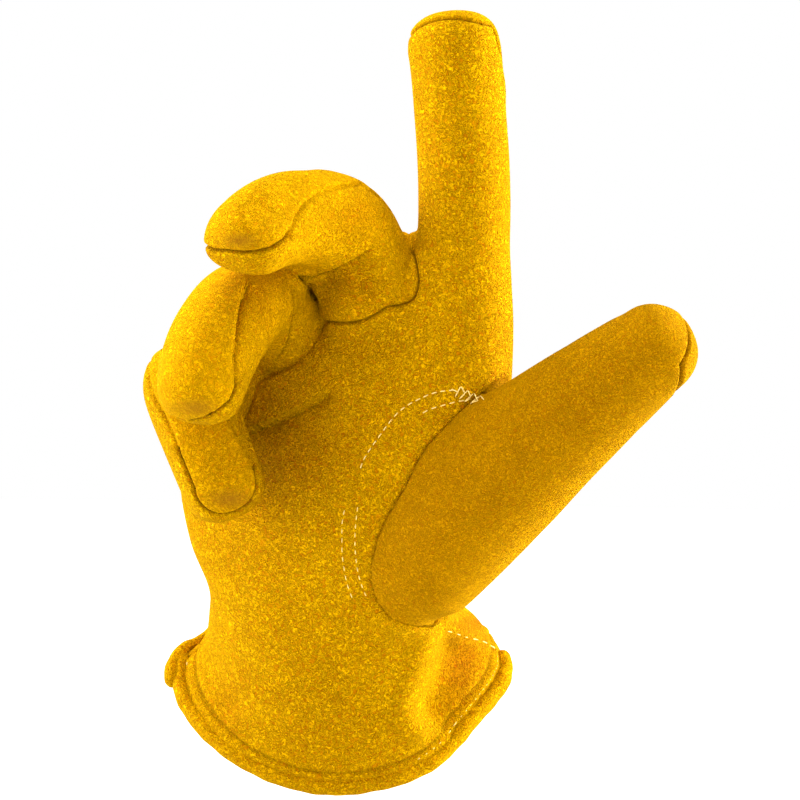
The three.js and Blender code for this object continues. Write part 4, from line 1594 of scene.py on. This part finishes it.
# %% The suede finish
def suede(name, hair, contrast, relief, bright=BRIGHT, deep=DEEP):
    """Suede with hairs of a size and a relief in metres, and a contrast between bed and hairs."""
    material, sheet = material_sheet(name)
    place = sheet.node("ShaderNodeTexCoord", output="Object")
    swirl = sheet.noise(place, SWIRL_SIZE, 1.0, output="Color")
    bent = place + (swirl - 0.5) * SWIRL_BEND
    nap = sheet.noise(bent, hair, 2.0, 0.55, 1.1)
    strands = (1 - abs(nap - 0.5) * STRAND_STEEPNESS).held()
    clumps = sheet.noise(bent, hair * CLUMP_TO_HAIR, 2.0, 0.6, 0.6)
    flecks = sheet.noise(place, hair * FLECK_TO_HAIR, 1.0)
    clouds = sheet.noise(place, CLOUD_SIZE, 3.0, 0.6)
    patches = sheet.noise(place, PATCH_SIZE, 2.0)
    height = strands * STRAND_RISE + nap * NAP_RISE + clumps * CLUMP_RISE + flecks * FLECK_RISE
    tone = 0.5 + (height - MEAN_RISE) * contrast
    tone = tone + (clouds - 0.5) * CLOUD_TONE + (patches - 0.5) * PATCH_TONE
    worn = sheet.number("worn")
    crease_shade = sheet.number("crease_shade")
    # The hollows' painted shade multiplies the colour darker and more orange.
    colour = sheet.mixed(tone.held(), deep, bright) * sheet.mixed(sheet.number("painted_shade"), WHITE, SHADE_TINT)
    colour = sheet.mixed(worn * WORN_SHARE, colour, WORN_COLOUR)
    # Painted shade in seams, creases and the cuff's stitched groove, flecked like the nap.
    darkness = crease_shade * (SHADE_PLAIN + SHADE_FLECKED * flecks)
    colour = sheet.mixed(darkness.held(), colour, CREASE_SHADE_COLOUR)
    rise = height * (1 - worn * WORN_SHARE)
    bump = sheet.node("ShaderNodeBump", {}, {"Strength": 1.0, "Distance": relief, "Height": rise})
    sheet.finish({
        "Base Color": colour,
        "Roughness": 0.92,
        "Specular IOR Level": 0.1,
        "Specular Tint": SHINE_TINT,
        "Sheen Weight": 0.4,
        "Sheen Roughness": 0.45,
        "Sheen Tint": SHEEN_TINT,
        "Normal": bump,
    })
    return material


FINISHES = {
    "palm_leather": suede("palm_suede_finish", 0.00115, 0.85, 0.0006),
    "back_leather": suede("back_suede_finish", 0.00105, 0.55, 0.0004),
    "strip_leather": suede("strip_suede_finish", 0.001, 0.7, 0.0005),
    "thumb_leather": suede("thumb_suede_finish", 0.0008, 0.55, 0.0003, THUMB_BRIGHT, THUMB_DEEP),
    "binding_leather": suede("binding_suede_finish", 0.00105, 0.9, 0.0005),
}
slots = {row["node"]: row["material_slot"] for row in frame["record"]["subparts"]}
for name, piece in pieces.items():
    piece.data.materials.append(FINISHES[slots[name]])
print("finishes:", sorted(FINISHES))

# %% [markdown]
# The thread is cream cotton, twisted so finely that a small noise is enough for its light and dark turns.

# %% The thread's finish
THREAD_DARK, THREAD_LIGHT = (0.7, 0.5, 0.14, 1), (1.0, 0.82, 0.36, 1)
TWIST_SIZE, TWIST_RELIEF = 0.0005, 0.0001
thread, sheet = material_sheet("cream_thread")
twist = sheet.noise(sheet.node("ShaderNodeTexCoord", output="Object"), TWIST_SIZE, 1.0)
bump = sheet.node("ShaderNodeBump", {}, {"Strength": 0.6, "Distance": TWIST_RELIEF, "Height": twist})
sheet.finish({
    "Base Color": sheet.mixed(twist, THREAD_DARK, THREAD_LIGHT),
    "Roughness": 0.7,
    "Specular IOR Level": 0.15,
    "Normal": bump,
})
for piece in stitching:
    piece.data.materials.append(thread)
print("pieces of thread:", [piece.name for piece in stitching])

# %% [markdown]
# The camera stands where the photograph was taken from: level with the middle of the glove and 1.2 m
# away, with a long lens that shows 222 mm over the width of the picture.

# %% Camera
SENSOR = 36.0
camera_data = bpy.data.cameras.new("camera")
camera_data.sensor_width = SENSOR
camera_data.lens = SENSOR * CAMERA_DISTANCE * PIXELS_PER_MM / (2 * PICTURE_MIDDLE)
camera = bpy.data.objects.new("camera", camera_data)
bpy.context.scene.collection.objects.link(camera)
camera.location = Vector(world(EYE))
aim = Vector(world(AIM))
camera.rotation_euler = (aim - camera.location).to_track_quat("-Z", "Y").to_euler()
bpy.context.scene.camera = camera
print("lens in mm:", round(camera_data.lens, 1))

# %% [markdown]
# The glove stands over a pale paper floor, 3 mm clear of it. The camera sees the floor as plain white. To
# the glove it gives a softer light from below, or else the cuff would be washed out.

# %% Floor
FLOOR_LEVEL = -0.062
FLOOR_SIZE = 6.0
FLOOR_GLOW = (0.8, 0.8, 0.8, 1)
PAPER_DARK, PAPER_LIGHT = (0.3, 0.3, 0.3, 1), (0.34, 0.34, 0.34, 1)
GRAIN_SIZE = 0.02
bpy.ops.mesh.primitive_plane_add(size=FLOOR_SIZE, location=(0, 0, FLOOR_LEVEL))
floor = bpy.context.object
floor.name = "floor"
paper, sheet = material_sheet("pale_floor")
grain = sheet.noise(sheet.node("ShaderNodeTexCoord", output="Object"), GRAIN_SIZE, 2.0)
straight = sheet.node("ShaderNodeLightPath", output="Is Camera Ray")
sheet.finish({
    "Base Color": sheet.mixed(grain, PAPER_DARK, PAPER_LIGHT),
    "Roughness": 0.9,
    "Specular IOR Level": 0.0,
    "Emission Color": sheet.mixed(straight, FLOOR_GLOW, WHITE),
    "Emission Strength": 1.0,
})
floor.data.materials.append(paper)
print("floor at", FLOOR_LEVEL, "m")

# %% [markdown]
# The photograph was lit as in a light tent: white on all sides and below, weaker from the front. So the
# outlines glow and the middle of each limb is darker. Softboxes stand behind the glove at both sides and
# over it, and a small weak one near the camera reaches into the hollows between the fingers.

# %% Softboxes
SOFTBOXES = {
    "front_softbox": {"place": (330, 60, 1000), "size": (0.35, 0.2), "watts": 3.8},
    "left_softbox": {"place": (-800, 180, -200), "size": (0.6, 1.0), "watts": 19},
    "right_softbox": {"place": (850, -40, -220), "size": (0.6, 0.9), "watts": 38},
    "top_softbox": {"place": (-150, 900, 50), "size": (0.8, 0.6), "watts": 9},
}


def softbox(name, place, size, watts):
    light = bpy.data.lights.new(name, "AREA")
    light.shape = "RECTANGLE"
    light.size, light.size_y = size
    light.energy = watts
    lamp = bpy.data.objects.new(name, light)
    bpy.context.scene.collection.objects.link(lamp)
    lamp.location = Vector(world(place))
    lamp.rotation_euler = (aim - lamp.location).to_track_quat("-Z", "Y").to_euler()


for name, row in SOFTBOXES.items():
    softbox(name, **row)
print("softboxes:", {name: row["watts"] for name, row in SOFTBOXES.items()}, "watts")

# %% [markdown]
# The world is the tent itself. The camera sees it white, and the glove gets a softer light from it, a
# little weaker from the front than from the sides. The gamma below 1 gives the deep orange shades and the
# yellow highlights that the camera of the photograph gave.

# %% The light tent
TOWARDS_VIEWER = tuple(TO_WORLD @ np.array([0, 0, 1.0]))
WORLD_SIDES, WORLD_FRONT = 0.7, 0.64
FRONT_FROM, FRONT_TO = 0.2, 0.75
CAMERA_GAMMA = 0.8
studio = bpy.data.worlds.new("studio")
bpy.context.scene.world = studio
studio.use_nodes = True
sheet = Sheet(studio.node_tree)
direction = sheet.node("ShaderNodeTexCoord", output="Generated")
frontal = sheet.node("ShaderNodeVectorMath", {"operation": "DOT_PRODUCT"},
                     {0: direction, 1: TOWARDS_VIEWER}, output="Value")
strength = WORLD_SIDES + frontal.eased(FRONT_FROM, FRONT_TO) * (WORLD_FRONT - WORLD_SIDES)
seen = sheet.node("ShaderNodeLightPath", output="Is Camera Ray")
strength = seen + (1 - seen) * strength
background = sheet.node("ShaderNodeBackground", {}, {"Color": WHITE, "Strength": strength})
sheet.node("ShaderNodeOutputWorld", {}, {"Surface": background})
bpy.context.scene.view_settings.view_transform = "Standard"
bpy.context.scene.view_settings.gamma = CAMERA_GAMMA
print("light of the tent: sides", WORLD_SIDES, "front", WORLD_FRONT)

# %% [markdown]
